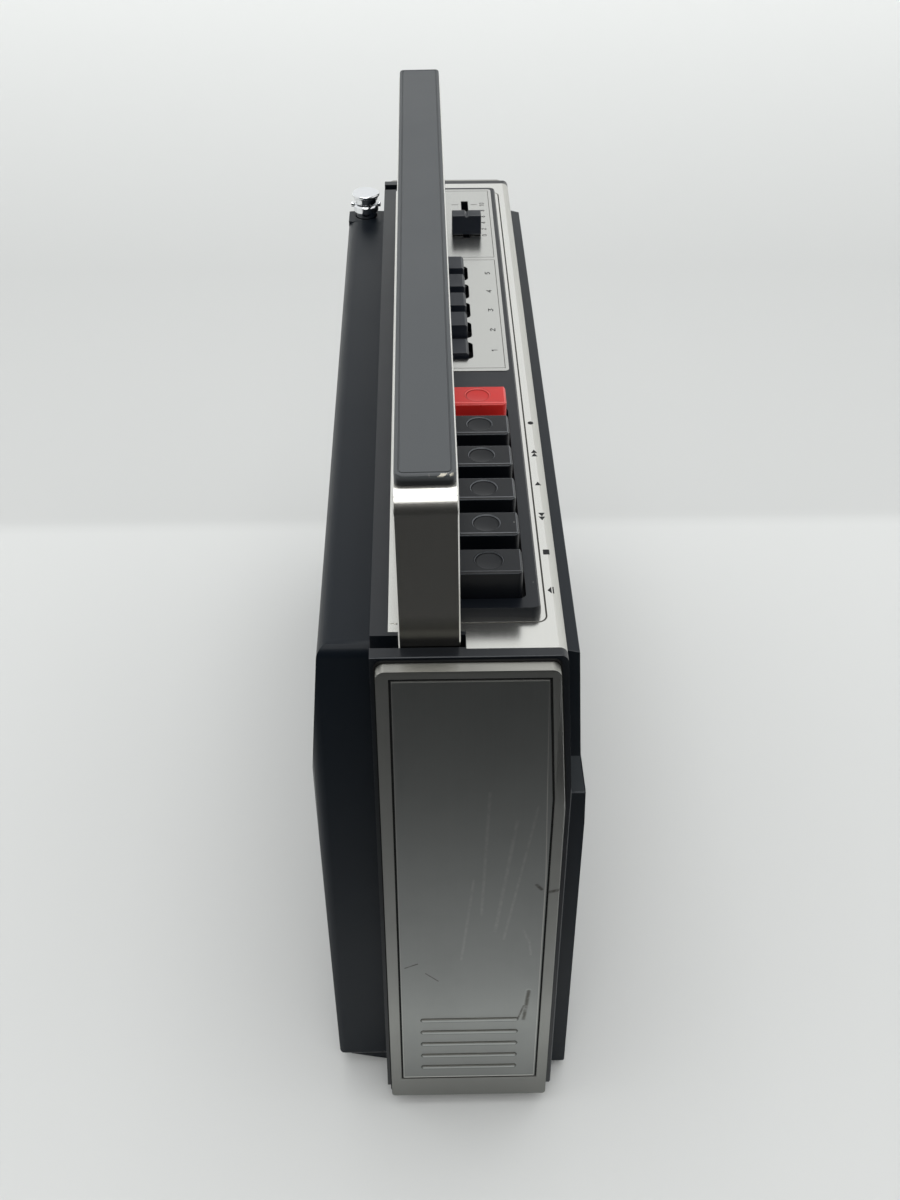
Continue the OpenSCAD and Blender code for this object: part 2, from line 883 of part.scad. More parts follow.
// Front bezel
module bezel_outline() {
    polygon([
        [front_y(bezel_top), bezel_top], [bezel_lip, bezel_top - 1], [bezel_step, step_z],
        [bezel_face + 0.4, step_z - 14], [bezel_face, low_z - 14], [bezel_face, bezel_bottom],
        [-body_front, bezel_bottom - 2], [-body_front, kink_z]
    ]);
}

// Space behind the bezel's lower wall
module bezel_hollow() {
    polygon([
        [-body_front + cut, frame_open_bottom], [bezel_back, frame_open_bottom], [bezel_back, low_z - 12],
        [bezel_back + 0.6, step_z - 14], [-body_front, kink_z - 1], [-body_front + cut, kink_z - 1]
    ]);
}

// Outline of a strip of the leaning zone, from depth a to depth b behind its face
module zone_strip(a, b, z0, z1) {
    polygon([[zone_y(z0) + a, z0], [zone_y(z0) + b, z0], [zone_y(z1) + b, z1], [zone_y(z1) + a, z1]]);
}

module deck_posts() {
    for (x = [deck_left + 6, deck_right - 6]) for (z = [deck_bottom + 4, kink_z - 1])
        rod_y(post_r, x, bezel_back - 0.5, deck_front, z);
}

module front_bezel() {
    ear = 7;
    color(black) difference() {
        union() {
            difference() {
                along_x(-bezel_half, bezel_half) bezel_outline();
                along_x(-frame_open_half, frame_open_half) bezel_hollow();
            }
            deck_posts();
            for (x = [lid_left - gap - stub_l - 0.5, lid_right + gap - 0.5])
                block([x, bezel_back - cut, hinge_z - ear / 2],
                      [x + stub_l + 1, bezel_back + 3, hinge_z + ear / 2]);
            rod_y(6, knob_x, bezel_back - cut, bezel_back + 8, knob_z);
        }
        along_x(-dial_half, dial_half) zone_strip(-cut, 12, dial_bottom, dial_top);
        along_x(-dial_half - dial_ledge, dial_half + dial_ledge)
            zone_strip(-cut, window_t + 0.2, dial_bottom - dial_ledge, dial_top + dial_ledge);
        along_x(-dial_half, dial_half) zone_strip(window_t + 0.9, 12, dial_top - cut, scale_top + 2.5);
        block([lid_left - gap, bezel_face - cut, lid_bottom - gap],
              [lid_right + gap, bezel_back + 8, lid_top + gap]);
        rod_x(stub_r + run_fit, lid_left - gap - stub_l - 0.2, lid_left, hinge_y, hinge_z);
        rod_x(stub_r + run_fit, lid_right, lid_right + gap + stub_l + 0.2, hinge_y, hinge_z);
        block([grille_left, bezel_face - cut, grille_bottom], [grille_right, grille_seat, grille_top]);
        rod_y(speaker_r - flange_w + 2, speaker_x, bezel_face - cut, bezel_back + cut, speaker_z);
        rod_y(shaft_r + run_fit, knob_x, bezel_face - cut, bezel_back + 8 + cut, knob_z);
    }
}

module dial_window() {
    color(clear) along_x(-dial_half - dial_ledge, dial_half + dial_ledge)
        zone_strip(0.2, window_t + 0.2, dial_bottom - dial_ledge, dial_top + dial_ledge);
}

module dial_scale() {
    spacer = 5;
    color([0.86, 0.85, 0.8]) {
        along_x(-dial_half - dial_ledge, dial_half + dial_ledge)
            zone_strip(scale_in, scale_in + scale_t, scale_bottom, scale_top);
        both_ends() along_x(dial_half - 3, dial_half + dial_ledge) polygon([
            [front_y(scale_bottom), scale_bottom], [zone_y(scale_bottom) + scale_in, scale_bottom],
            [zone_y(scale_bottom + spacer) + scale_in, scale_bottom + spacer - 1],
            [front_y(scale_bottom + spacer), scale_bottom + spacer - 1]
        ]);
    }
}

// The pointer hangs on the upper edge of the scale
module dial_pointer() {
    clip_w = 8;
    front = scale_in - gap;
    back = scale_in + scale_t + gap;
    color(red) {
        along_x(-pointer_w / 2, pointer_w / 2)
            zone_strip(pointer_in, pointer_in + pointer_t, dial_bottom + 1, scale_top + 1);
        along_x(-clip_w / 2, clip_w / 2) {
            zone_strip(pointer_in, front, scale_top - 1.5, scale_top + 1.5);
            zone_strip(pointer_in, back + 1, scale_top + gap, scale_top + 1.5);
            zone_strip(back, back + 1, scale_top - 4, scale_top + 1);
        }
    }
}

module tuning_knob() {
    rim = knob_d / 2;
    ridges = 40;
    color(silver) difference() {
        turned_y(knob_x, knob_face, knob_z) polygon([
            [shaft_r, 3], [0, 3], [0, 0.6], [rim - 4, 0.6], [rim - 3.4, 0], [rim - 1, 0], [rim, 1],
            [rim, knob_back - knob_face], [shaft_r, knob_back - knob_face]
        ]);
        for (i = [1:ridges]) translate([knob_x, knob_face, knob_z]) rotate([0, i * 360 / ridges, 0])
            translate([rim + 0.3, 2, 0]) rotate([-90, 0, 0]) cylinder(r = 0.7, h = 20);
    }
}

module tuning_shaft() {
    color(steel) {
        rod_y(shaft_r, knob_x, knob_face + 3, shaft_end, knob_z);
        turned_y(knob_x, drum_front - 1, knob_z) difference() {
            square([shaft_r + 3, drum_t + 2]);
            translate([shaft_r + 1, 2]) square([3, drum_t - 2]);
        }
    }
}

module tuning_drum() {
    color([0.85, 0.83, 0.76]) {
        difference() {
            turned_y(drum_x, drum_front, drum_z) polygon([
                [0, 0], [drum_r, 0], [drum_r, 1], [drum_r - 1.5, 1.8], [drum_r - 1.5, drum_t - 1.8],
                [drum_r, drum_t - 1], [drum_r, drum_t], [0, drum_t]
            ]);
            for (a = [0:60:300]) translate([drum_x, drum_front - cut, drum_z]) rotate([0, a, 0])
                translate([drum_r * 0.58, 0, 0]) rotate([-90, 0, 0]) cylinder(r = 5.5, h = drum_t + 2 * cut);
        }
        rod_y(shaft_r, drum_x, drum_front + drum_t, can_front + 6, drum_z);
    }
}

// Loudspeaker
module speaker_grille() {
    color(dark) difference() {
        block([grille_left, grille_face, grille_bottom], [grille_right, grille_seat, grille_top]);
        for (i = [0:grille_rows - 1]) {
            z = grille_bottom + grille_edge + (i + 0.5) * grille_pitch;
            block([grille_left + grille_side, grille_face - cut, z - grille_pitch / 4],
                  [grille_right - grille_side, grille_seat + cut, z + grille_pitch / 4]);
        }
    }
}

module speaker_basket() {
    flange = speaker_r - flange_w;
    window_w = 16;
    window_edge = 5;
    color(steel) difference() {
        turned_y(speaker_x, bezel_back, speaker_z) polygon([
            [flange, 0], [speaker_r, 0], [speaker_r, basket_t], [flange + basket_t, basket_t],
            [magnet_r + 1, cone_depth], [magnet_r + 1, cone_depth + basket_t],
            [coil_r + coil_gap, cone_depth + basket_t], [coil_r + coil_gap, cone_depth],
            [magnet_r - 1, cone_depth], [flange, basket_t - gap]
        ]);
        for (a = [45:90:315]) translate([speaker_x, bezel_back + window_edge, speaker_z]) rotate([0, a, 0])
            translate([magnet_r + window_edge / 2, 0, -window_w / 2])
            cube([speaker_r, cone_depth - 1.6 * window_edge, window_w]);
    }
}

module speaker_cone() {
    outer = speaker_r - flange_w - surround_gap;
    roll = outer - surround_w / 2;
    inner = outer - surround_w;
    cap_front = cone_depth / 3;
    cap_back = coil_r * 0.85;
    tube_end = cone_depth + 2 * basket_t;
    color([0.16, 0.15, 0.14]) turned_y(speaker_x, bezel_back, speaker_z) polygon([
        [0, cap_front], [coil_r / 2, cap_front + cone_t], [coil_r - cone_t, cap_back], [inner, 2 * cone_t],
        [roll, 0.8 * cone_t], [outer, 1.6 * cone_t], [roll, 1.8 * cone_t], [inner, 3 * cone_t],
        [coil_r, cap_back + cone_t], [coil_r, tube_end], [coil_r - cone_t, tube_end],
        [coil_r - cone_t, cap_back + cone_t], [coil_r / 2 - cone_t, cap_front + 2 * cone_t],
        [0, cap_front + cone_t]
    ]);
}

module speaker_magnet() {
    plate_y = bezel_back + cone_depth;
    color(dark) difference() {
        rod_y(magnet_r, speaker_x, plate_y + basket_t, plate_y + magnet_t, speaker_z);
        rod_y(coil_r + coil_gap, speaker_x, plate_y, plate_y + 4 * basket_t, speaker_z);
    }
}

// Cassette lid with its pocket cheeks and shelf
module cassette_lid() {
    pocket_back = deck_front - 1;
    win_z = lid_win_bottom;
    cheek_in = 1.6;
    cheek_t = 1.4;
    color(black) difference() {
        union() {
            block([lid_left, lid_face, hinge_z], [lid_right, lid_back, lid_top]);
            rod_x(hinge_r, lid_left, lid_right, hinge_y, hinge_z);
            rod_x(stub_r, lid_left - stub_l, lid_right + stub_l, hinge_y, hinge_z);
            for (x = [lid_left + cheek_in, lid_right - cheek_in - cheek_t])
                block([x, lid_back - cut, hinge_z + 2], [x + cheek_t, pocket_back, lid_top - 12]);
            block([lid_left + cheek_in, lid_back - cut, hinge_z + 2],
                  [lid_right - cheek_in, pocket_back, hinge_z + 3.5]);
        }
        along_y(lid_face - cut, lid_back + cut)
            round_rect(lid_mid - lid_win_w / 2, lid_mid + lid_win_w / 2, win_z, win_z + lid_win_h, 3);
        along_y(lid_face - cut, lid_face + 1.4)
            round_rect(lid_mid - lid_win_w / 2 - 1.5, lid_mid + lid_win_w / 2 + 1.5, win_z - 1.5,
                       win_z + lid_win_h + 1.5, 4);
    }
}

module cassette_window() {
    color(clear) along_y(lid_face, lid_face + 1.4)
        round_rect(lid_mid - lid_win_w / 2 - 1.5, lid_mid + lid_win_w / 2 + 1.5, lid_win_bottom - 1.5,
                   lid_win_bottom + lid_win_h + 1.5, 4);
}

// Back cover: outlines drawn in by m, from depth y0 backwards
module cover_side(m, y0) {
    r = max(cover_r - m, 0.5);
    low_r = cover_r / 2;
    polygon(concat(
        [[y0, cover_bottom + m]],
        arc(cover_low_y - low_r, cover_low_z + m, low_r, 270, 360),
        [[cover_kink - m, cover_kink_z]],
        arc(cover_top_y - m - r, cover_top - m - r, r, 0, 90),
        [[y0, cover_top - m]]
    ));
}

module cover_blank(m, y0) {
    r = max(cover_r - m, 0.5);
    x = cover_half - m;
    intersection() {
        along_x(-x, x) cover_side(m, y0);
        linear_extrude(cover_top + cut) {
            round_rect(-x, x, y0 - cover_r, cover_kink - m, r);
            translate([-x, y0 - cover_r]) square([2 * x, cover_r + cut]);
        }
        along_y(y0, cover_kink + cut) round_rect(-x, x, cover_bottom + m, cover_top - m, r);
    }
}

module door_cutter(m) {
    along_x(door_left - m, door_left + door_w + m) polygon([
        [door_axis_y - 4, door_bottom - m], [cover_kink + cut, door_bottom - m],
        [cover_kink + cut, door_bottom + door_h + m], [door_axis_y - 4, door_bottom + door_h + m]
    ]);
}

module back_cover() {
    color(black) difference() {
        union() {
            difference() {
                cover_blank(0, body_back);
                difference() {
                    cover_blank(cover_wall, body_back - cut);
                    for (p = screw_spots) rod_y(boss_r, p.x, body_back, cover_kink, p.y);
                    block([aerial_x - recess_side - recess_wall, body_back, recess_floor - cover_wall],
                          [cover_half, cover_kink, cover_top]);
                }
            }
            along_x(-cover_half + base_inset, cover_half - base_inset) polygon([
                [body_back, cover_bottom - 3.3], [cover_low_y - 4, cover_bottom + 0.4],
                [cover_low_y - 3.5, cover_low_z], [body_back, cover_bottom + 2]
            ]);
        }
        door_cutter(door_open);
        for (p = screw_spots) {
            rod_y(screw_r + 0.2, p.x, body_back - cut, cover_kink + cut, p.y);
            rod_y(screw_head_r + 0.4, p.x, screw_y, cover_kink + cut, p.y);
        }
        aerial_recess();
        rod_z(aerial_r + gap, aerial_x, aerial_y, aerial_bottom - 1, body_top);
        along_y(inlet_seat, cover_kink + cut) inlet_outline(inlet_rim, 3);
    }
}

module aerial_recess() {
    block([aerial_x - recess_side, body_back - cut, recess_floor],
          [cover_half + cut, aerial_y + recess_depth, body_top]);
}

module battery_door() {
    z1 = door_bottom + door_h;
    color(black) {
        along_x(door_left, door_left + door_w) polygon([
            [door_axis_y, door_axis_z], [cover_y(door_axis_z), door_axis_z],
            [cover_y(z1), z1], [cover_y(z1) - door_t, z1]
        ]);
        rod_x(door_t - 0.1, door_left, door_left + door_w, door_axis_y + 0.05, door_axis_z);
    }
}

module battery_contacts() {
    rows = [bay_top - 15, door_bottom + 12];
    color(brass) {
        for (z = rows) {
            block([bay_left, bay_front + 6, z - 8], [bay_left + 0.6, bay_front + 22, z + 8]);
            rod_x(3, bay_left + 0.3, bay_left + 3, bay_front + 14, z);
        }
        block([bay_right - 0.6, bay_front + 6, rows[1] - 8], [bay_right, bay_front + 22, rows[0] + 8]);
        for (z = rows) rod_x(3, bay_right - 3, bay_right - 0.3, bay_front + 14, z);
    }
}

module cover_screws() {
    color(steel) for (p = screw_spots) difference() {
        union() {
            rod_y(screw_head_r, p.x, screw_y, screw_y + 2, p.y);
            rod_y(screw_r, p.x, body_back - screw_in + 1, screw_y + cut, p.y);
        }
        block([p.x - 2.2, screw_y + 1.2, p.y - 0.4], [p.x + 2.2, screw_y + 3, p.y + 0.4]);
    }
}

module feet() {
    color(black) both_ends() intersection() {
        block([half_w - 12, -body_front + 1.5, 0], [half_w - 1, body_back - 1, foot_h]);
        along_y(-body_front, body_back) round_rect(half_w - 12, half_w - 1, 0, foot_h + 2, 1.5);
        along_x(0, half_w) round_rect(-body_front + 1.5, body_back - 1, 0, foot_h + 2, 1.5);
    }
}

// Handle, drawn upright and then leaned about its pivot
module leaned() {
    translate([0, pivot_y, pivot_z]) rotate([-handle_lean, 0, 0]) children();
}

// Cross-section of the band with bevelled edges, its outer face at x = 0
module band_section() {
    b = band_bevel;
    w = band_w / 2;
    polygon([[0, w - b], [-b, w], [-band_t + b, w], [-band_t, w - b],
             [-band_t, -w + b], [-band_t + b, -w], [-b, -w], [0, -w + b]]);
}

module handle_band() {
    color(steel) leaned() difference() {
        union() {
            both_ends() {
                translate([leg_x, 0, 0]) linear_extrude(handle_h - band_r) band_section();
                translate([leg_x - band_r, 0, handle_h - band_r]) rotate([90, 0, 0])
                    rotate_extrude(angle = 90) translate([band_r, 0]) band_section();
                rod_x(leg_r, leg_x - band_t, leg_x, 0, 0);
            }
            translate([-leg_x + band_r, 0, handle_h]) rotate([0, 90, 0])
                linear_extrude(2 * (leg_x - band_r)) rotate(180) band_section();
        }
        both_ends() rod_x(pin_r + run_fit, leg_x - band_t - cut, leg_x + cut, 0, 0);
    }
}

module handle_grip() {
    line = 1.1;
    groove = 0.35;
    depth = 0.3;
    soft = 0.4;
    top = handle_h + grip_t;
    half = grip_d / 2;
    pad_half = half - 0.6;
    pad_r = 2.5;
    pad_top = handle_h - band_t;
    color(dark) leaned() {
        difference() {
            intersection() {
                round_plate(-grip_half, grip_half, -half, half, handle_h, top, grip_r);
                along_x(-grip_half, grip_half) polygon([
                    [-half, handle_h], [half, handle_h], [half, top - soft],
                    [half - soft, top], [-half + soft, top], [-half, top - soft]
                ]);
                along_y(-half, half) polygon([
                    [-grip_half, handle_h], [grip_half, handle_h], [grip_half, top - soft],
                    [grip_half - soft, top], [-grip_half + soft, top], [-grip_half, top - soft]
                ]);
            }
            difference() {
                round_plate(-grip_half + line, grip_half - line, -half + line, half - line,
                            top - depth, top + cut, grip_r - line);
                round_plate(-grip_half + line + groove, grip_half - line - groove,
                            -half + line + groove, half - line - groove, top - depth - cut, top + 2 * cut,
                            grip_r - line - groove);
            }
        }
        intersection() {
            along_x(-grip_half + 3, grip_half - 3) union() {
                round_rect(-pad_half, pad_half, pad_top - pad_t, pad_top, pad_r);
                translate([-pad_half, pad_top - pad_t / 2]) square([2 * pad_half, pad_t / 2]);
            }
            along_y(-half, half) union() {
                round_rect(-grip_half + 3, grip_half - 3, pad_top - pad_t, pad_top, pad_r);
                translate([-grip_half + 3, pad_top - pad_t / 2]) square([2 * grip_half - 6, pad_t / 2]);
            }
        }
    }
}

module handle_pins() {
    color(steel) both_ends()
        rod_x(pin_r, pocket_in - pocket_block + 1, in_w + pin_seat, pivot_y, pivot_z);
}

// Aerial
module aerial_tube() {
    color(steel) difference() {
        union() {
            rod_z(aerial_r, aerial_x, aerial_y, aerial_bottom, collar_top);
            rod_z(neck_r, aerial_x, aerial_y, recess_floor, collar_top - collar_h + cut);
            translate([aerial_x, aerial_y, collar_top - collar_h]) rotate_extrude() polygon([
                [0, 0], [collar_r - 0.3, 0], [collar_r, 0.3], [collar_r, collar_h - 0.6],
                [collar_r - 0.6, collar_h], [0, collar_h]
            ]);
            for (side = [-1, 1]) translate([aerial_x, aerial_y, collar_top - 0.4]) rotate([-90 * side, 0, 0])
                translate([0, 0, collar_r - nub_in]) cylinder(r = nub_r, h = nub_in + nub_out);
        }
        rod_z(aerial_r - aerial_wall, aerial_x, aerial_y, aerial_bottom + 1, collar_top + cut);
    }
}

module aerial_section(r, stage) {
    low = collar_top - aerial_l + stage * aerial_step;
    color(steel) difference() {
        rod_z(r, aerial_x, aerial_y, low, collar_top);
        rod_z(r - aerial_wall, aerial_x, aerial_y, low + 1, collar_top + cut);
    }
}

module aerial_section_1() {
    aerial_section(section_1_r, 0);
}

module aerial_section_2() {
    aerial_section(section_2_r, 1);
}

module aerial_tip() {
    r = tip_d / 2;
    color(steel) {
        rod_z(rod_r, aerial_x, aerial_y, collar_top - aerial_l + 2 * aerial_step, tip_bottom + cut);
        translate([aerial_x, aerial_y, tip_bottom]) rotate_extrude() polygon([
            [0, 0], [r - 1.4, 0], [r - 1.2, 0.5], [r - 0.5, tip_h - 1.5], [r, tip_h - 1.2],
            [r, tip_h - 0.4], [r - 0.4, tip_h], [0, tip_h]
        ]);
    }
}

// Radio board with its tuning capacitor and filter cans
module radio_board() {
    cans = [12, 26, 52, 66];
    color([0.45, 0.36, 0.2]) block([board_left, board_front, board_bottom],
                                  [board_right, board_front + board_t, board_top]);
    color(steel) {
        difference() {
            block([drum_x - 15, can_front, drum_z - 15], [drum_x + 11, board_front, drum_z + 13]);
            rod_y(shaft_r + run_fit, drum_x, can_front - cut, can_front + 6.5, drum_z);
        }
        for (x = cans) block([board_left + x, board_front - 12, board_bottom + 14],
                             [board_left + x + 8, board_front, board_bottom + 22]);
    }
}

module ferrite_aerial() {
    y = rib_back + rod_aerial_r + gap;
    x0 = rib_spots[0] - 26;
    x1 = rib_spots[1] + 30;
    coil_in = 8;
    coil_l = 15;
    coil_h = 1.5;
    color(dark) {
        rod_x(rod_aerial_r, x0, x1, y, rod_aerial_z);
        for (x = [x0 + coil_in, x1 - coil_in - coil_l])
            rod_x(rod_aerial_r + coil_h, x, x + coil_l, y, rod_aerial_z);
    }
}

module mains_transformer() {
    y = 4;
    color(steel) difference() {
        block([core_left, y, floor_z], [core_left + core_w, y + core_d, floor_z + core_h]);
        for (x = [core_left + 8, core_left + core_w - 16])
            block([x, y - cut, floor_z + 8], [x + 8, y + core_d + cut, floor_z + core_h - 8]);
    }
}

module mains_inlet() {
    face = cover_kink - 2.2;
    depth = 10;
    pin_x = 4.3;
    color(dark) {
        difference() {
            union() {
                along_y(inlet_seat, face) inlet_outline(inlet_rim, 3);
                along_y(inlet_seat - 8, inlet_seat) inlet_outline(0.5, 2);
            }
            along_y(face - depth, face + cut) inlet_outline(0, inlet_h / 2 - 0.01);
        }
        for (x = [inlet_x - pin_x, inlet_x + pin_x]) rod_y(1.2, x, face - depth - cut, face - 2.5, inlet_z);
    }
}

// Outline of the mains inlet's socket, drawn out by m
module inlet_outline(m, r) {
    round_rect(inlet_x - inlet_w - m, inlet_x + inlet_w + m, inlet_z - inlet_h / 2 - m,
               inlet_z + inlet_h / 2 + m, r);
}

// Tape deck
module tape_chassis() {
    spindles = [lid_mid - spindle_gap / 2, lid_mid + spindle_gap / 2];
    color(steel) difference() {
        union() {
            block([deck_left, deck_front, deck_bottom], [deck_right, deck_back, deck_top]);
            for (x = bridge_pins) {
                rod_y(guide_pin_r, x, bridge_front - 1.6, deck_front + 0.5, bridge_pin_z);
                rod_y(guide_pin_r + 1.4, x, bridge_front - 1.6, bridge_front - gap, bridge_pin_z);
            }
            for (a = [100, 180, 260]) motor_post(a + 41);
            rod_y(4, capstan_x, deck_front, wheel_front - gap, capstan_z);
        }
        for (x = spindles) rod_y(spindle_r + run_fit, x, deck_front - cut, deck_back + cut, spindle_z);
        rod_y(capstan_r + run_fit, capstan_x, deck_front - cut, wheel_front, capstan_z);
    }
}

module motor_post(a) {
    r = motor_r - 3.5;
    rod_y(2.5, motor_x + r * cos(a), deck_front + 0.5, motor_front, motor_z + r * sin(a));
}

module head_bridge() {
    slot_r = guide_pin_r + run_fit;
    front = bridge_front;
    color(steel) difference() {
        union() {
            block([bridge_left, front, bridge_bottom], [bridge_right, bridge_back, bridge_top]);
            block([lid_mid - 6, front - 7, bridge_bottom - 3], [lid_mid + 6, front + cut, bridge_bottom + 7]);
            rod_y(roller_pin_r, capstan_x, front - 8, front + cut, roller_z);
        }
        for (x = bridge_pins) {
            block([x - slot_r, front - cut, bridge_pin_z],
                  [x + slot_r, bridge_back + cut, bridge_pin_z + key_travel]);
            for (z = [bridge_pin_z, bridge_pin_z + key_travel])
                rod_y(slot_r, x, front - cut, bridge_back + cut, z);
        }
    }
}

module pinch_roller() {
    color(black) difference() {
        rod_y(roller_r, capstan_x, bridge_front - 7.5, bridge_front - gap, roller_z);
        rod_y(roller_pin_r + run_fit, capstan_x, bridge_front - 9, bridge_front + cut, roller_z);
    }
}

module spindle(x) {
    color([0.8, 0.8, 0.78]) {
        rod_y(spindle_r, x, deck_front - 3, deck_back + 1.6, spindle_z);
        turned_y(x, deck_front - 8, spindle_z) polygon([
            [0, 0], [2, 0], [3, 1.5], [3, 6], [9, 6], [9, 7.7], [0, 7.7]
        ]);
        for (a = [90, 210, 330]) translate([x, deck_front - 6.5, spindle_z]) rotate([0, a, 0])
            translate([0, 0, -0.7]) cube([4.6, 4.5, 1.4]);
        rod_y(spindle_r + 1.8, x, deck_back + gap, deck_back + 1.2, spindle_z);
    }
}

module supply_spindle() {
    spindle(lid_mid - spindle_gap / 2);
}

module takeup_spindle() {
    spindle(lid_mid + spindle_gap / 2);
}

module flywheel() {
    color(brass) {
        difference() {
            rod_y(flywheel_r, capstan_x, wheel_front, wheel_front + wheel_t, capstan_z);
            translate([capstan_x, belt_front - 0.2, capstan_z]) rotate([-90, 0, 0]) difference() {
                cylinder(r = flywheel_r + cut, h = belt_w + 0.4);
                translate([0, 0, -cut]) cylinder(r = flywheel_r - groove_d, h = belt_w + 3);
            }
        }
        rod_y(capstan_r, capstan_x, deck_front - 12, wheel_front + 1, capstan_z);
    }
}

module tape_motor() {
    color(steel) difference() {
        rod_y(motor_r, motor_x, motor_front, motor_front + motor_l, motor_z);
        rod_y(motor_shaft_r + run_fit, motor_x, motor_front - cut, motor_front + 6, motor_z);
    }
}

module motor_pulley() {
    rim = pulley_r + 1;
    color(brass) {
        turned_y(motor_x, belt_front - 1, motor_z) polygon([
            [0, 0], [rim, 0], [rim, 0.8], [pulley_r, 0.8],
            [pulley_r, belt_w + 1.2], [rim, belt_w + 1.2], [rim, belt_w + 2], [0, belt_w + 2]
        ]);
        rod_y(motor_shaft_r, motor_x, belt_front, motor_front + 5, motor_z);
    }
}

// Closed loop round the pulley and the flywheel's groove, drawn out by m
module belt_outline(m) {
    dx = capstan_x - motor_x;
    dz = capstan_z - motor_z;
    r0 = pulley_r + m;
    r1 = flywheel_r - groove_d + m;
    steps = 30;
    turn = atan2(dz, dx);
    lean = acos((r0 - r1) / norm([dx, dz]));
    polygon(concat(
        [for (i = [0:steps]) let (a = turn + lean + (360 - 2 * lean) * i / steps)
            [motor_x + r0 * cos(a), motor_z + r0 * sin(a)]],
        [for (i = [0:steps]) let (a = turn - lean + 2 * lean * i / steps)
            [capstan_x + r1 * cos(a), capstan_z + r1 * sin(a)]]
    ));
}

module drive_belt() {
    color([0.08, 0.08, 0.08]) along_y(belt_front, belt_front + belt_w) difference() {
        belt_outline(belt_gap + belt_t);
        belt_outline(belt_gap);
    }
}

// Assembly
housing_frame();
end_cap_left();
end_cap_right();
top_panel();
control_island();
control_plate();
front_bezel();
dial_window();
dial_scale();
dial_pointer();
tuning_knob();
tuning_shaft();
tuning_drum();
speaker_grille();
speaker_basket();
speaker_cone();
speaker_magnet();
cassette_lid();
cassette_window();
back_cover();
battery_door();
battery_contacts();
cover_screws();
feet();
handle_band();
handle_grip();
handle_pins();
for (i = [0:5]) tape_key(i);
key_guide();
for (i = [0:4]) band_key(i);
band_switch();
volume_slider();
tone_slider();
slide_controls();
aerial_tube();
aerial_section_1();
aerial_section_2();
aerial_tip();
radio_board();
ferrite_aerial();
mains_transformer();
mains_inlet();
tape_chassis();
head_bridge();
pinch_roller();
supply_spindle();
takeup_spindle();
flywheel();
tape_motor();
motor_pulley();
drive_belt();
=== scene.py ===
"""Looks of a portable radio cassette recorder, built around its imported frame.

Sizes of the radio are in millimetres, which MM turns into metres. The studio around it is in metres."""
import json
import math

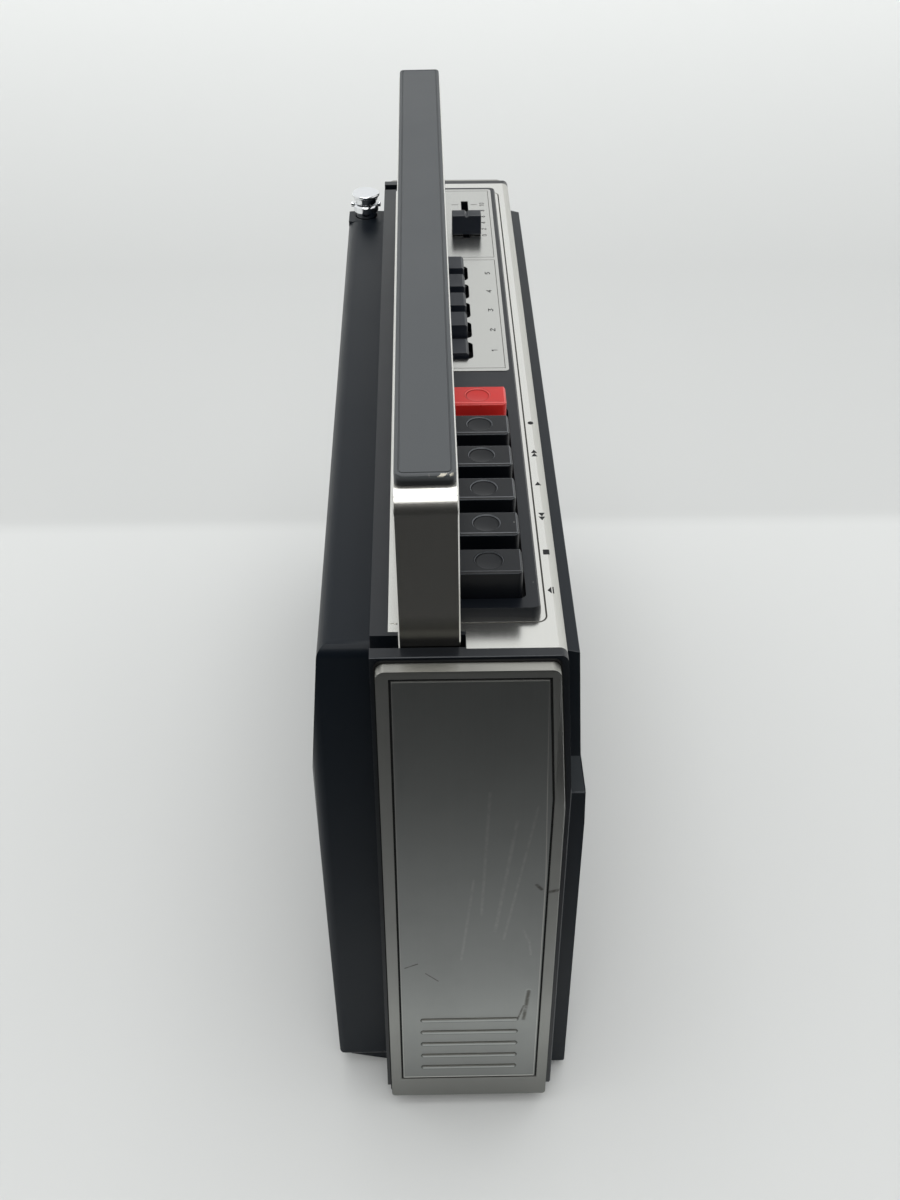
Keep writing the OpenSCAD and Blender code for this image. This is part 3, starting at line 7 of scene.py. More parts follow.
import bmesh
import bpy
from mathutils import Matrix, Vector
from mathutils.bvhtree import BVHTree
from mathutils.geometry import convex_hull_2d
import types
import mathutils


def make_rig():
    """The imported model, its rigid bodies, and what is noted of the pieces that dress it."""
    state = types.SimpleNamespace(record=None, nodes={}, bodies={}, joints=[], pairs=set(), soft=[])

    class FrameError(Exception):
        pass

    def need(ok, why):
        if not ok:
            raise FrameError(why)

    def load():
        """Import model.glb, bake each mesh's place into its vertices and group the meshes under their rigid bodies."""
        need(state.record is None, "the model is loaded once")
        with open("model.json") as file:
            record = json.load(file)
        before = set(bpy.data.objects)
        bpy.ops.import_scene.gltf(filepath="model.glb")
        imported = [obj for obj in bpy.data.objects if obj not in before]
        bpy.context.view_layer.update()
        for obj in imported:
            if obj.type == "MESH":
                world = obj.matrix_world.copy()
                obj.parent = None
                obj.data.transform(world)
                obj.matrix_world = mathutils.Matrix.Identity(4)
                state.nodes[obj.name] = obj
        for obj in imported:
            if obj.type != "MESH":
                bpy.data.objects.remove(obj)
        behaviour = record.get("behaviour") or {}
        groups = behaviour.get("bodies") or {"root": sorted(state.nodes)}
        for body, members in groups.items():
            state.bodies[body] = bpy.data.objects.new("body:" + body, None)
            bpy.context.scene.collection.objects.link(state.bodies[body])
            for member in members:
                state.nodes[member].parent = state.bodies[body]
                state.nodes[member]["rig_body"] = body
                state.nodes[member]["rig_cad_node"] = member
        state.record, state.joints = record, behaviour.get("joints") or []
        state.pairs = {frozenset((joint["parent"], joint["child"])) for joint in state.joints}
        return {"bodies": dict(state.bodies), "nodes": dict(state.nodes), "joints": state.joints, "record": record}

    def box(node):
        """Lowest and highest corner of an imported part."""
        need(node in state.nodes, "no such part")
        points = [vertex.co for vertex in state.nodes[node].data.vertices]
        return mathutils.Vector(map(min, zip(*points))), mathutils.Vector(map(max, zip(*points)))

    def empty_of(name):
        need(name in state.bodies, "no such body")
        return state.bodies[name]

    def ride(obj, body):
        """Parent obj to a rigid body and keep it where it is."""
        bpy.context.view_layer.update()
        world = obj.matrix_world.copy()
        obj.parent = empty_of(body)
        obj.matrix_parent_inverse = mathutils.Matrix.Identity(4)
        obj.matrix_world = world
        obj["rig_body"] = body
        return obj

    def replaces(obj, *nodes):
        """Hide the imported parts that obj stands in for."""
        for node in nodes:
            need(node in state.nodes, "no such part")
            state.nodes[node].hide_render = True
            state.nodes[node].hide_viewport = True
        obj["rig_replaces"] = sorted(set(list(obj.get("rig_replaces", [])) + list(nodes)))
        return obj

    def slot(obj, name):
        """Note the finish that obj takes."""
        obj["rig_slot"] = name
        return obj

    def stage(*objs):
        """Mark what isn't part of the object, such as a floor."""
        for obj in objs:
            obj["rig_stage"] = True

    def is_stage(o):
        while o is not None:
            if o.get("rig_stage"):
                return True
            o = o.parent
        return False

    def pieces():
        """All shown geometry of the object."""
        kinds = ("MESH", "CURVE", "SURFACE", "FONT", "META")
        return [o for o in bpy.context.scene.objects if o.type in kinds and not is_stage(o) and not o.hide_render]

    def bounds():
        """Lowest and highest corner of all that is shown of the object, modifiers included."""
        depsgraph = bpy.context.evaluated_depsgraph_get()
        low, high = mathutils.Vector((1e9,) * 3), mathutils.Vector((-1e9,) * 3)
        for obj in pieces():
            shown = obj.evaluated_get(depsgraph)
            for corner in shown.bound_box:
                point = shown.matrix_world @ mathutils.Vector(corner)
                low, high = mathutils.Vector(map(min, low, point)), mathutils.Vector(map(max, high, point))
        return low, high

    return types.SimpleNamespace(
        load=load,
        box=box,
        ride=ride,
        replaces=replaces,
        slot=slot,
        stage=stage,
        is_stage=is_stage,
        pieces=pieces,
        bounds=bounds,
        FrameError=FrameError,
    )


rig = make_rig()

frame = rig.load()
CAD_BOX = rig.bounds()
NODES = frame["nodes"]
MM = 0.001

KEYS = ["key_eject", "key_stop", "key_rewind", "key_play", "key_forward", "key_record"]
BAND_KEYS = ["band_key_tape", "band_key_long", "band_key_medium", "band_key_short", "band_key_fm"]
CAP_FACE, CAP_TOP = 164.5, 204.6
HOUSING_END = 160.0
PANEL_TOP = 206.0


def new_object(name, data):
    thing = bpy.data.objects.new(name, data)
    bpy.context.scene.collection.objects.link(thing)
    return thing


def mesh_of(bm, name, *looks):
    """A mesh of what bm holds, with the materials of its looks. bm is freed."""
    mesh = bpy.data.meshes.new(name)
    bm.to_mesh(mesh)
    bm.free()
    for look in looks:
        mesh.materials.append(M[look])
    return mesh


# Camera, floor and light

CAMERA_PLACE = (-0.455289, 0.011675, 0.461988)
CAMERA_TURN = (-1.259, 38.671, -0.062)
FOCAL_LENGTH, PHOTO_HEIGHT = 1453.812, 1200
SENSOR = 36
COOL_WHITE = (0.97, 0.99, 1.0, 1)
CEILING_POWER, FRONT_POWER = 15, 7
WORLD_DARK, WORLD_BRIGHT = 0.06, 0.9
WORLD_WAY, WORLD_REACH = (0.75, 0, 1.0), 0.5
# Grey tones: painted shade and light on the floor's paper by X, and of the dark card by its share of the way across
PAPER_SHADE_TONES = [(-0.2, 0.645), (0.185, 0.69), (0.195, 0.605), (0.5, 0.595), (1.2, 0.86)]
PAPER_TINT = (1, 1.006, 0.988)
CARD_TONES = [(0.0, 0.42), (0.07, 0.27), (0.15, 0.08), (0.24, 0.02), (1.0, 0.012)]


def make_camera():
    """The photograph's camera: it stands off the left end and looks down along the radio. CAMERA_TURN is
    its yaw, pitch and roll in degrees, and FOCAL_LENGTH is in the photograph's pixels."""
    yaw, pitch, roll = (math.radians(a) for a in CAMERA_TURN)
    forward = Vector((math.cos(yaw) * math.cos(pitch), math.sin(yaw) * math.cos(pitch),
                      -math.sin(pitch)))
    right = Vector((math.sin(yaw), -math.cos(yaw), 0))
    down = forward.cross(right)
    right, down = (math.cos(roll) * right + math.sin(roll) * down,
                   math.cos(roll) * down - math.sin(roll) * right)
    data = bpy.data.cameras.new("camera")
    data.sensor_width = SENSOR
    data.lens = SENSOR * FOCAL_LENGTH / PHOTO_HEIGHT
    camera = new_object("camera", data)
    axes = Matrix((right, -down, -forward)).transposed().to_4x4()
    camera.matrix_world = Matrix.Translation(CAMERA_PLACE) @ axes
    bpy.context.scene.camera = camera


def area_light(name, place, aim, size, power):
    data = bpy.data.lights.new(name, "AREA")
    data.shape = "RECTANGLE"
    data.size, data.size_y = size
    data.energy = power
    lamp = new_object(name, data)
    lamp.location = place
    lamp.rotation_euler = (Vector(aim) - Vector(place)).to_track_quat("-Z", "Y").to_euler()


def make_sweep():
    """A pale round floor that curves up into a low wall. Its grey tone along X is painted shade and light, and its far
    part glows as painted light.
    """
    inner, flat, bend, top, steps, turns = 0.9, 1.9, 0.4, 0.9, 12, 72
    line = [(inner, 0.0)]
    for i in range(steps + 1):
        a = math.pi / 2 * i / steps
        line.append((flat + bend * math.sin(a), bend - bend * math.cos(a)))
    line.append((flat + bend, top))
    bm = bmesh.new()
    middle = bm.verts.new((0, 0, 0))
    rings = [[bm.verts.new((r * math.cos(t), r * math.sin(t), z))
              for t in (2 * math.pi * j / turns for j in range(turns))] for r, z in line]
    for j in range(turns):
        bm.faces.new((middle, rings[0][j], rings[0][(j + 1) % turns]))
        for low, high in zip(rings, rings[1:]):
            bm.faces.new((low[j], high[j], high[(j + 1) % turns], low[(j + 1) % turns]))
    mesh = mesh_of(bm, "sweep")
    mesh.shade_smooth()
    floor = new_object("sweep", mesh)
    paper = Shader("sweep_paper", roughness=0.8, specular_ior_level=0.2, emission_color=COOL_WHITE)
    # The paper's grey tone along X is painted shade and light.
    start, end = PAPER_SHADE_TONES[0][0], PAPER_SHADE_TONES[-1][0]
    stops = [((x - start) / (end - start), [t * c for c in PAPER_TINT]) for x, t in PAPER_SHADE_TONES]
    paper.link("Base Color", paper.ramp(paper.span(paper.axis("X"), start, end), *stops))
    away = paper.add("ShaderNodeVectorMath", {0: paper.place}, operation="LENGTH").outputs["Value"]
    # The far part of the sweep glows: painted light.
    glow_from, glow_to, glow = 1.3, 2.1, 0.2
    paper.link("Emission Strength", paper.span(away, glow_from, glow_to, 0.0, glow))
    mesh.materials.append(paper.material)
    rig.stage(floor)


def make_dark_card():
    """A dark card off the left end, seen only in reflections: the room behind the photographer."""
    mesh = bpy.data.meshes.new("dark_card")
    near, far, half, low, high = -0.2, -0.8, 1.2, 0.012, 0.9
    places = [(x, y, z) for x, z in ((near, low), (far, low), (far, high)) for y in (-half, half)]
    mesh.from_pydata(places, [], [(0, 1, 3, 2), (2, 3, 5, 4)])
    card = new_object("dark_card", mesh)
    card.visible_camera = card.visible_diffuse = card.visible_shadow = card.visible_transmission = False
    black = Shader("dark_card", roughness=0.9)
    black.link("Base Color", black.ramp(black.span(black.axis("X"), near, far),
                                        *[(at, (t, t, t)) for at, t in CARD_TONES]))
    mesh.materials.append(black.material)
    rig.stage(card)


def make_light():
    """Soft lamps above, and a world that is bright along WORLD_WAY, up and beyond the radio, and dark
    towards the photographer."""
    area_light("ceiling", (0.1, 0.0, 2.2), (0.1, 0, 0), (1.7, 1.7), CEILING_POWER)
    area_light("front", (-1.35, 0.1, 1.75), (0, 0, 0.1), (1.2, 0.9), FRONT_POWER)
    world = bpy.data.worlds.new("studio")
    bpy.context.scene.world = world
    world.use_nodes = True
    nodes, links = world.node_tree.nodes, world.node_tree.links
    way = nodes.new("ShaderNodeTexCoord").outputs["Generated"]
    slope = nodes.new("ShaderNodeVectorMath")
    slope.operation = "DOT_PRODUCT"
    slope.inputs[1].default_value = WORLD_WAY
    reach = nodes.new("ShaderNodeMapRange")
    for socket, value in (("From Min", -WORLD_REACH), ("From Max", WORLD_REACH),
                          ("To Min", WORLD_DARK), ("To Max", WORLD_BRIGHT)):
        reach.inputs[socket].default_value = value
    links.new(slope.inputs[0], way)
    links.new(reach.inputs["Value"], slope.outputs["Value"])
    links.new(nodes["Background"].inputs["Strength"], reach.outputs["Result"])
    nodes["Background"].inputs["Color"].default_value = COOL_WHITE
    bpy.context.scene.view_settings.view_transform = "Standard"


# Short ways to write a material's nodes

class Shader:
    """A new material with a principled shader, whose patterns lie in the object's own coordinates."""

    def __init__(self, name, colour=(1, 1, 1), **values):
        self.material = bpy.data.materials.new(name)
        self.material.use_nodes = True
        self.tree = self.material.node_tree
        self.surface = self.tree.nodes["Principled BSDF"]
        self.place = self.tree.nodes.new("ShaderNodeTexCoord").outputs["Object"]
        names = {"ior": "IOR", "specular_ior_level": "Specular IOR Level"}
        for key, value in {"base_color": (*colour, 1), **values}.items():
            self.surface.inputs[names.get(key, key.replace("_", " ").title())].default_value = value

    def link(self, socket, output):
        self.tree.links.new(self.surface.inputs[socket], output)

    def finished(self, colour, roughness, normal):
        self.link("Base Color", colour)
        self.link("Roughness", roughness)
        self.link("Normal", normal)
        return self.material

    def add(self, kind, inputs=(), **settings):
        node = self.tree.nodes.new(kind)
        for key, value in settings.items():
            setattr(node, key, value)
        for socket, value in dict(inputs).items():
            if isinstance(value, bpy.types.NodeSocket):
                self.tree.links.new(node.inputs[socket], value)
            else:
                node.inputs[socket].default_value = value
        return node

    def stretched(self, scale):
        """The coordinates stretched by a scale along each axis."""
        return self.add("ShaderNodeMapping", {"Vector": self.place, "Scale": scale}).outputs["Vector"]

    def noise(self, scale, detail, rough, stretch=None):
        place = self.stretched(stretch) if stretch else self.place
        node = self.add("ShaderNodeTexNoise",
                        {"Vector": place, "Scale": scale, "Detail": detail, "Roughness": rough})
        return node.outputs["Fac"]

    def specks(self, scale, size):
        """Spots of 1 on 0, scattered with a cell per 1/scale metres, each up to size cells wide."""
        cells = self.add("ShaderNodeTexVoronoi", {"Vector": self.place, "Scale": scale})
        chance = self.add("ShaderNodeSeparateColor", {"Color": cells.outputs["Color"]}).outputs["Red"]
        width = self.times(self.maths("POWER", chance, 6), size)
        return self.maths("LESS_THAN", cells.outputs["Distance"], width)

    def maths(self, operation, a, b=0.0):
        return self.add("ShaderNodeMath", {0: a, 1: b}, operation=operation).outputs["Value"]

    def times(self, a, b):
        return self.maths("MULTIPLY", a, b)

    def hypot(self, a, b):
        return self.maths("SQRT", self.maths("ADD", self.times(a, a), self.times(b, b)))

    def span(self, value, low, high, to_low=0.0, to_high=1.0):
        """value from low to high carried over to to_low to to_high, and held there."""
        node = self.add("ShaderNodeMapRange", {"Value": value, "From Min": low, "From Max": high,
                                               "To Min": to_low, "To Max": to_high})
        return node.outputs["Result"]

    def ramp(self, factor, *stops):
        node = self.add("ShaderNodeValToRGB", {"Fac": factor})
        elements = node.color_ramp.elements
        for i, (at, colour) in enumerate(stops):
            element = elements[i] if i < 2 else elements.new(at)
            element.position = at
            element.color = (*colour, 1)
        return node.outputs["Color"]

    def mix(self, factor, a, b):
        node = self.add("ShaderNodeMix", data_type="RGBA")
        for socket, value in ((0, factor), (6, a), (7, b)):
            if isinstance(value, bpy.types.NodeSocket):
                self.tree.links.new(node.inputs[socket], value)
            else:
                node.inputs[socket].default_value = value if socket == 0 else (*value, 1)
        return node.outputs[2]

    def bump(self, height, distance, after=None):
        node = self.add("ShaderNodeBump", {"Height": height, "Distance": distance})
        if after:
            self.tree.links.new(node.inputs["Normal"], after)
        return node.outputs["Normal"]

    def axis(self, name):
        return self.add("ShaderNodeSeparateXYZ", {"Vector": self.place}).outputs[name]

    def stroke(self, start, end, width):
        """1 along a straight line between two places, fading to 0 at width from it. Places are in mm."""
        def vector(operation, output, inputs):
            return self.add("ShaderNodeVectorMath", inputs, operation=operation).outputs[output]

        start, end = Vector(start) * MM, Vector(end) * MM
        way = end - start
        from_start = vector("SUBTRACT", 0, {0: self.place, 1: start})
        along = vector("DOT_PRODUCT", "Value", {0: from_start, 1: way.normalized()})
        near = self.add("ShaderNodeClamp", {"Value": along, "Min": 0.0, "Max": way.length}).outputs[0]
        foot = vector("SCALE", 0, {0: tuple(way.normalized()), "Scale": near})
        off = vector("DISTANCE", "Value", {0: from_start, 1: foot})
        return self.span(off, 0.3 * width * MM, width * MM, 1.0, 0.0)


def tone(colour, factor):
    return tuple(min(1.0, c * factor) for c in colour)


# Materials

def moulded(name, colour, rough, grain=0.3, depth=0.012, dust=0.0, spread=0.12, shine=0.4):
    """Injection-moulded plastic with a fine eroded grain, a little unevenness and dust. grain and depth are
    the grain's size and depth, and spread is how far the colour varies."""
    s = Shader(name, colour, roughness=rough, specular_ior_level=shine)
    broad = s.noise(22, 3, 0.6)
    fine = s.noise(1 / (grain * MM), 3, 0.6)
    surface = s.mix(broad, tone(colour, 1 - spread), tone(colour, 1 + spread))
    if dust:
        surface = s.mix(s.times(s.specks(190, 0.05), dust), surface, (0.32, 0.32, 0.31))
    uneven = s.maths("ADD", broad, s.times(fine, 0.4))
    return s.finished(surface, s.span(uneven, 0.3, 1.1, rough - 0.05, rough + 0.07),
                      s.bump(fine, depth * MM))


STREAK_WIDTH, STREAK_LENGTH = 0.12, 40


def brushed(name, colour, rough, along, streak=0.05, depth=0.002, stains=0.0, vary=0.05, shade_heights=None):
    """Satin metal brushed along one axis, with fine streaks and faint stains. streak is how far the colour
    varies with the streaks, and vary how far the roughness does. The last argument is a pair of heights:
    painted shade darkens the metal from the first down to the second."""
    s = Shader(name, colour, metallic=1.0, roughness=rough)
    across, lengthwise = 1 / (STREAK_WIDTH * MM), 1 / (STREAK_LENGTH * MM)
    scale = [lengthwise if a == along else across for a in "XYZ"]
    lines = s.noise(1, 2, 0.7, stretch=scale)
    patches = s.noise(26, 3, 0.55)
    surface = s.mix(lines, tone(colour, 1 - streak), tone(colour, 1 + streak))
    if stains:
        surface = s.mix(s.span(patches, 0.52, 0.75, 0.0, stains), surface, tone(colour, 0.72))
    # Painted shade: the metal is darker from the first height down to the second.
    if shade_heights:
        top, bottom = shade_heights
        darker = s.span(s.axis("Z"), top * MM, bottom * MM, 0.0, 0.95)
        surface = s.mix(darker, surface, tone(colour, 0.22))
    uneven = s.maths("ADD", lines, s.times(patches, 0.6))
    return s.finished(surface, s.span(uneven, 0.4, 1.2, rough - vary, rough + 1.6 * vary),
                      s.bump(lines, depth * MM))


# The end caps' ribs: their number, the lowest one's height, and each one's ends along Y and its radius
RIBS, RIB_Z, RIB_PITCH, RIB_ENDS, RIB_R = 5, 23.2, 6.65, (-17.4, 14.7), 0.7


def rib_shade_and_highlights(s):
    """Painted shade around the end caps' ribs, and painted highlights along their tops, as two masks."""
    z = s.maths("SUBTRACT", s.axis("Z"), (RIB_Z - RIB_PITCH / 2) * MM)
    z = s.maths("SUBTRACT", s.maths("FLOORED_MODULO", z, RIB_PITCH * MM), RIB_PITCH / 2 * MM)
    middle, half = sum(RIB_ENDS) / 2 * MM, ((RIB_ENDS[1] - RIB_ENDS[0]) / 2 - RIB_R) * MM
    y = s.maths("SUBTRACT", s.maths("ABSOLUTE", s.maths("SUBTRACT", s.axis("Y"), middle)), half)
    away = s.hypot(s.maths("MAXIMUM", y, 0.0), z)
    margin = 2
    zone = s.times(s.maths("GREATER_THAN", s.axis("Z"), (RIB_Z - margin) * MM),
                   s.maths("LESS_THAN", s.axis("Z"), (RIB_Z + (RIBS - 1) * RIB_PITCH + margin) * MM))
    off = s.maths("ABSOLUTE", s.maths("SUBTRACT", away, (RIB_R + 0.12) * MM))
    outline = s.times(s.span(off, 0.12 * MM, 0.34 * MM, 1.0, 0.0), zone)
    rib_highlight = s.times(s.span(away, 0.25 * MM, 0.5 * MM, 1.0, 0.0), zone)
    return outline, rib_highlight


# Marks on the left end cap's face: the Y and Z of both ends, and the width
SCRATCHES = [((-14.5, 146), (-9.0, 96), 0.8), ((-6.3, 158), (-4.6, 104), 0.7),
             ((-20.5, 152), (-11.8, 92), 0.6), ((-17.9, 96), (-20.0, 90), 0.6),
             ((-20.0, 90), (-20.6, 84), 0.6), ((-2.0, 120), (1.5, 82), 0.6)]
NICKS = [((19.6, 78), (15.6, 80), 0.35), ((13, 75), (9, 71), 0.3),
         ((-20.6, 65), (-19.4, 50), 0.9), ((-17.6, 50.5), (-19.2, 57), 0.5),
         ((-21.3, 117.6), (-22.8, 115.6), 0.8), ((-25.0, 114.2), (-28.4, 115.2), 0.9)]
DENT = ((-20.6, 65), (-19.4, 50), 1.2)


def cap_metal(name, colour, rough):
    """The end caps' satin sheet, with the scratches, scuffs and nicks that the photograph shows."""
    def stroke(start, end, width):
        return s.stroke((-CAP_FACE, *start), (-CAP_FACE, *end), width)

    s = Shader(name, colour, metallic=1.0, roughness=rough)
    lines = s.noise(1, 2, 0.7, stretch=(9000, 9000, 30))
    patches = s.noise(30, 4, 0.6)
    surface = s.mix(lines, tone(colour, 0.95), tone(colour, 1.05))
    surface = s.mix(s.span(patches, 0.5, 0.75, 0.0, 0.22), surface, tone(colour, 0.62))
    surface = s.mix(s.times(s.specks(120, 0.05), 0.7), surface, tone(colour, 0.3))
    # Painted shade: darker towards the bottom, where the sheet reflects the shadowed floor beside the radio.
    surface = s.mix(s.span(s.axis("Z"), 55 * MM, 8 * MM, 0.0, 0.75), surface, tone(colour, 0.38))
    # Painted shade in the creases around the ribs, and painted highlights along their tops.
    outline, rib_highlight = rib_shade_and_highlights(s)
    surface = s.mix(s.times(rib_highlight, 0.5), surface, tone(colour, 1.5))
    surface = s.mix(s.times(outline, 0.8), surface, tone(colour, 0.12))
    worn = s.noise(420, 3, 0.7)
    for marks, share, bare in ((SCRATCHES, (0.35, 0.6, 0.03, 0.19), (0.8, 0.8, 0.76)),
                               (NICKS, (0.3, 0.55, 0.35, 0.85), (0.12, 0.115, 0.1))):
        for mark in marks:
            surface = s.mix(s.times(stroke(*mark), s.span(worn, *share)), surface, bare)
    dent = stroke(*DENT)
    uneven = s.maths("ADD", lines, s.times(patches, 0.6))
    return s.finished(surface, s.span(uneven, 0.4, 1.2, rough - 0.05, rough + 0.06),
                      s.bump(s.maths("SUBTRACT", 1.0, dent), 0.12 * MM, s.bump(lines, 0.0015 * MM)))


# The first cassette key's dish, and the heights between which its edge lies
KEY_PITCH = 17.85
DISH_X, DISH_Y, DISH_R = -133.6, -6.2, 4.0
DISH_BOTTOM, DISH_TOP = 217.2, 217.8


def dish_shade(s):
    """1 around the edge of each cassette key's dish, most on the far side: painted shade under the dish's rim."""
    turn = s.maths("SUBTRACT", s.axis("X"), (DISH_X - KEY_PITCH / 2) * MM)
    x = s.maths("SUBTRACT", s.maths("FLOORED_MODULO", turn, KEY_PITCH * MM), KEY_PITCH / 2 * MM)
    y = s.maths("SUBTRACT", s.axis("Y"), DISH_Y * MM)
    off = s.maths("ABSOLUTE", s.maths("SUBTRACT", s.hypot(x, y), (DISH_R - 0.12) * MM))
    ring = s.span(off, 0.2 * MM, 0.55 * MM, 1.0, 0.0)
    side = s.span(s.maths("ADD", x, s.times(y, 0.4)), -3 * MM, 3 * MM, 0.35, 1.0)
    return s.times(s.times(ring, side), s.span(s.axis("Z"), DISH_BOTTOM * MM, DISH_TOP * MM))


def key_plastic(name, colour, rough=0.34, glow=0.0, dish=False):
    """Smooth key plastic, slightly wavy, with dust and fine wear. dish is whether painted shade lies around the edge
    of a dish.
    """
    shine = 0.31
    s = Shader(name, colour, roughness=rough, specular_ior_level=shine, subsurface_weight=glow,
               subsurface_scale=2 * MM)
    cloud = s.noise(90, 3, 0.6)
    fine = s.noise(2600, 2, 0.5)
    surface = s.mix(cloud, tone(colour, 0.88), tone(colour, 1.12))
    surface = s.mix(s.times(s.specks(320, 0.07), 0.4), surface, (0.5, 0.5, 0.48))
    if dish:
        # Painted shade under the rim of each dish, which also dims its sheen there.
        edge = dish_shade(s)
        surface = s.mix(edge, surface, tone(colour, 0.35))
        s.link("Specular IOR Level", s.span(edge, 0.0, 1.0, shine, 0.03))
    return s.finished(surface, s.span(cloud, 0.3, 0.7, rough - 0.05, rough + 0.08),
                      s.bump(fine, 0.006 * MM))


# The height where the grip's end rounds over into its top
GRIP_CROWN = 257.2


def grip_paint():
    """The grip's matt dark paint, with painted shade on its ends where they round over, bright specks, and chips at
    its left end's corner.
    """
    colour, shine = (0.048, 0.053, 0.057), 0.6
    s = Shader("grip_paint", colour, roughness=0.5, specular_ior_level=shine)
    broad = s.noise(16, 3, 0.6)
    fine = s.noise(2200, 3, 0.6)
    surface = s.mix(broad, tone(colour, 0.88), tone(colour, 1.12))
    surface = s.mix(s.times(s.specks(150, 0.06), 0.8), surface, (0.55, 0.54, 0.5))
    # Painted shade on the grip's rounded ends, which also dims their sheen.
    end = s.span(s.maths("ABSOLUTE", s.axis("X")), 148.8 * MM, 149.6 * MM)
    end = s.times(end, s.span(s.axis("Z"), GRIP_CROWN * MM, 256 * MM))
    surface = s.mix(end, surface, tone(colour, 0.3))
    s.link("Specular IOR Level", s.span(end, 0.0, 1.0, shine, 0.2))
    edge = s.span(s.axis("X"), -149.2 * MM, -149.9 * MM)
    corner = s.times(s.span(s.axis("Y"), 10.5 * MM, 8.5 * MM),
                     s.span(s.axis("Z"), GRIP_CROWN * MM, 257.8 * MM))
    chips = s.times(s.times(edge, corner), s.span(s.noise(700, 2, 0.6), 0.5, 0.53))
    return s.finished(s.mix(chips, surface, (0.62, 0.58, 0.48)), s.span(broad, 0.3, 0.7, 0.46, 0.56),
                      s.bump(fine, 0.012 * MM))


def clear_plastic(name, colour, rough):
    s = Shader(name, colour, roughness=rough, transmission_weight=1.0, ior=1.45,
               specular_ior_level=0.35)
    s.link("Roughness", s.span(s.noise(60, 3, 0.6), 0.3, 0.75, rough, rough + 0.05))
    s.link("Normal", s.bump(s.noise(40, 2, 0.5), 0.01 * MM))
    return s.material


def ink(name, colour, rough=0.5):
    """Printed ink, a little uneven at its edges."""
    s = Shader(name, colour, roughness=rough, specular_ior_level=0.2)
    s.link("Base Color", s.mix(s.noise(3000, 2, 0.6), tone(colour, 0.75), tone(colour, 1.2)))
    return s.material


def turned_metal(name, colour, rough, centre):
    """Metal turned on a lathe about an axis along Y through centre (x, z)."""
    s = Shader(name, colour, metallic=1.0, roughness=rough)
    x = s.maths("SUBTRACT", s.axis("X"), centre[0])
    z = s.maths("SUBTRACT", s.axis("Z"), centre[1])
    rings_per_metre = 7000.0
    place = s.add("ShaderNodeCombineXYZ", {"X": s.times(s.hypot(x, z), rings_per_metre)}).outputs[0]
    rings = s.add("ShaderNodeTexNoise", {"Vector": place, "Scale": 1.0, "Detail": 2.0}).outputs["Fac"]
    return s.finished(s.mix(rings, tone(colour, 0.9), tone(colour, 1.08)),
                      s.span(rings, 0.3, 0.7, rough - 0.05, rough + 0.07), s.bump(rings, 0.004 * MM))


def plated(name, colour, rough, spots):
    """Plain plated or cast metal with slight tarnish."""
    s = Shader(name, colour, metallic=1.0, roughness=rough)
    cloud = s.noise(140, 4, 0.6)
    surface = s.mix(s.span(cloud, 0.45, 0.75, 0.0, spots * 2), colour, tone(colour, 0.6))
    return s.finished(surface, s.span(cloud, 0.3, 0.75, rough, rough + 0.12),
                      s.bump(s.noise(1500, 2, 0.5), 0.003 * MM))


def cone_paper():
    s = Shader("cone_paper", (0.045, 0.042, 0.038), roughness=0.85)
    fibres = s.noise(1, 3, 0.7, stretch=(900, 300, 900))
    s.link("Base Color", s.ramp(fibres, (0.3, (0.03, 0.028, 0.026)), (0.7, (0.075, 0.07, 0.062))))
    s.link("Normal", s.bump(fibres, 0.05 * MM))
    return s.material


def board_laminate():
    """Pale brown circuit board with copper tracks seen through its varnish."""
    s = Shader("board_laminate", (0.3, 0.2, 0.09), roughness=0.4, coat_weight=0.3)
    cells = s.add("ShaderNodeTexVoronoi", {"Vector": s.place, "Scale": 150.0},
                  feature="DISTANCE_TO_EDGE")
    paths = s.span(cells.outputs["Distance"], 0.10, 0.14)
    s.link("Base Color", s.mix(paths, (0.34, 0.22, 0.1), (0.42, 0.24, 0.1)))
    s.link("Normal", s.bump(paths, 0.05 * MM))
    return s.material


M = {}


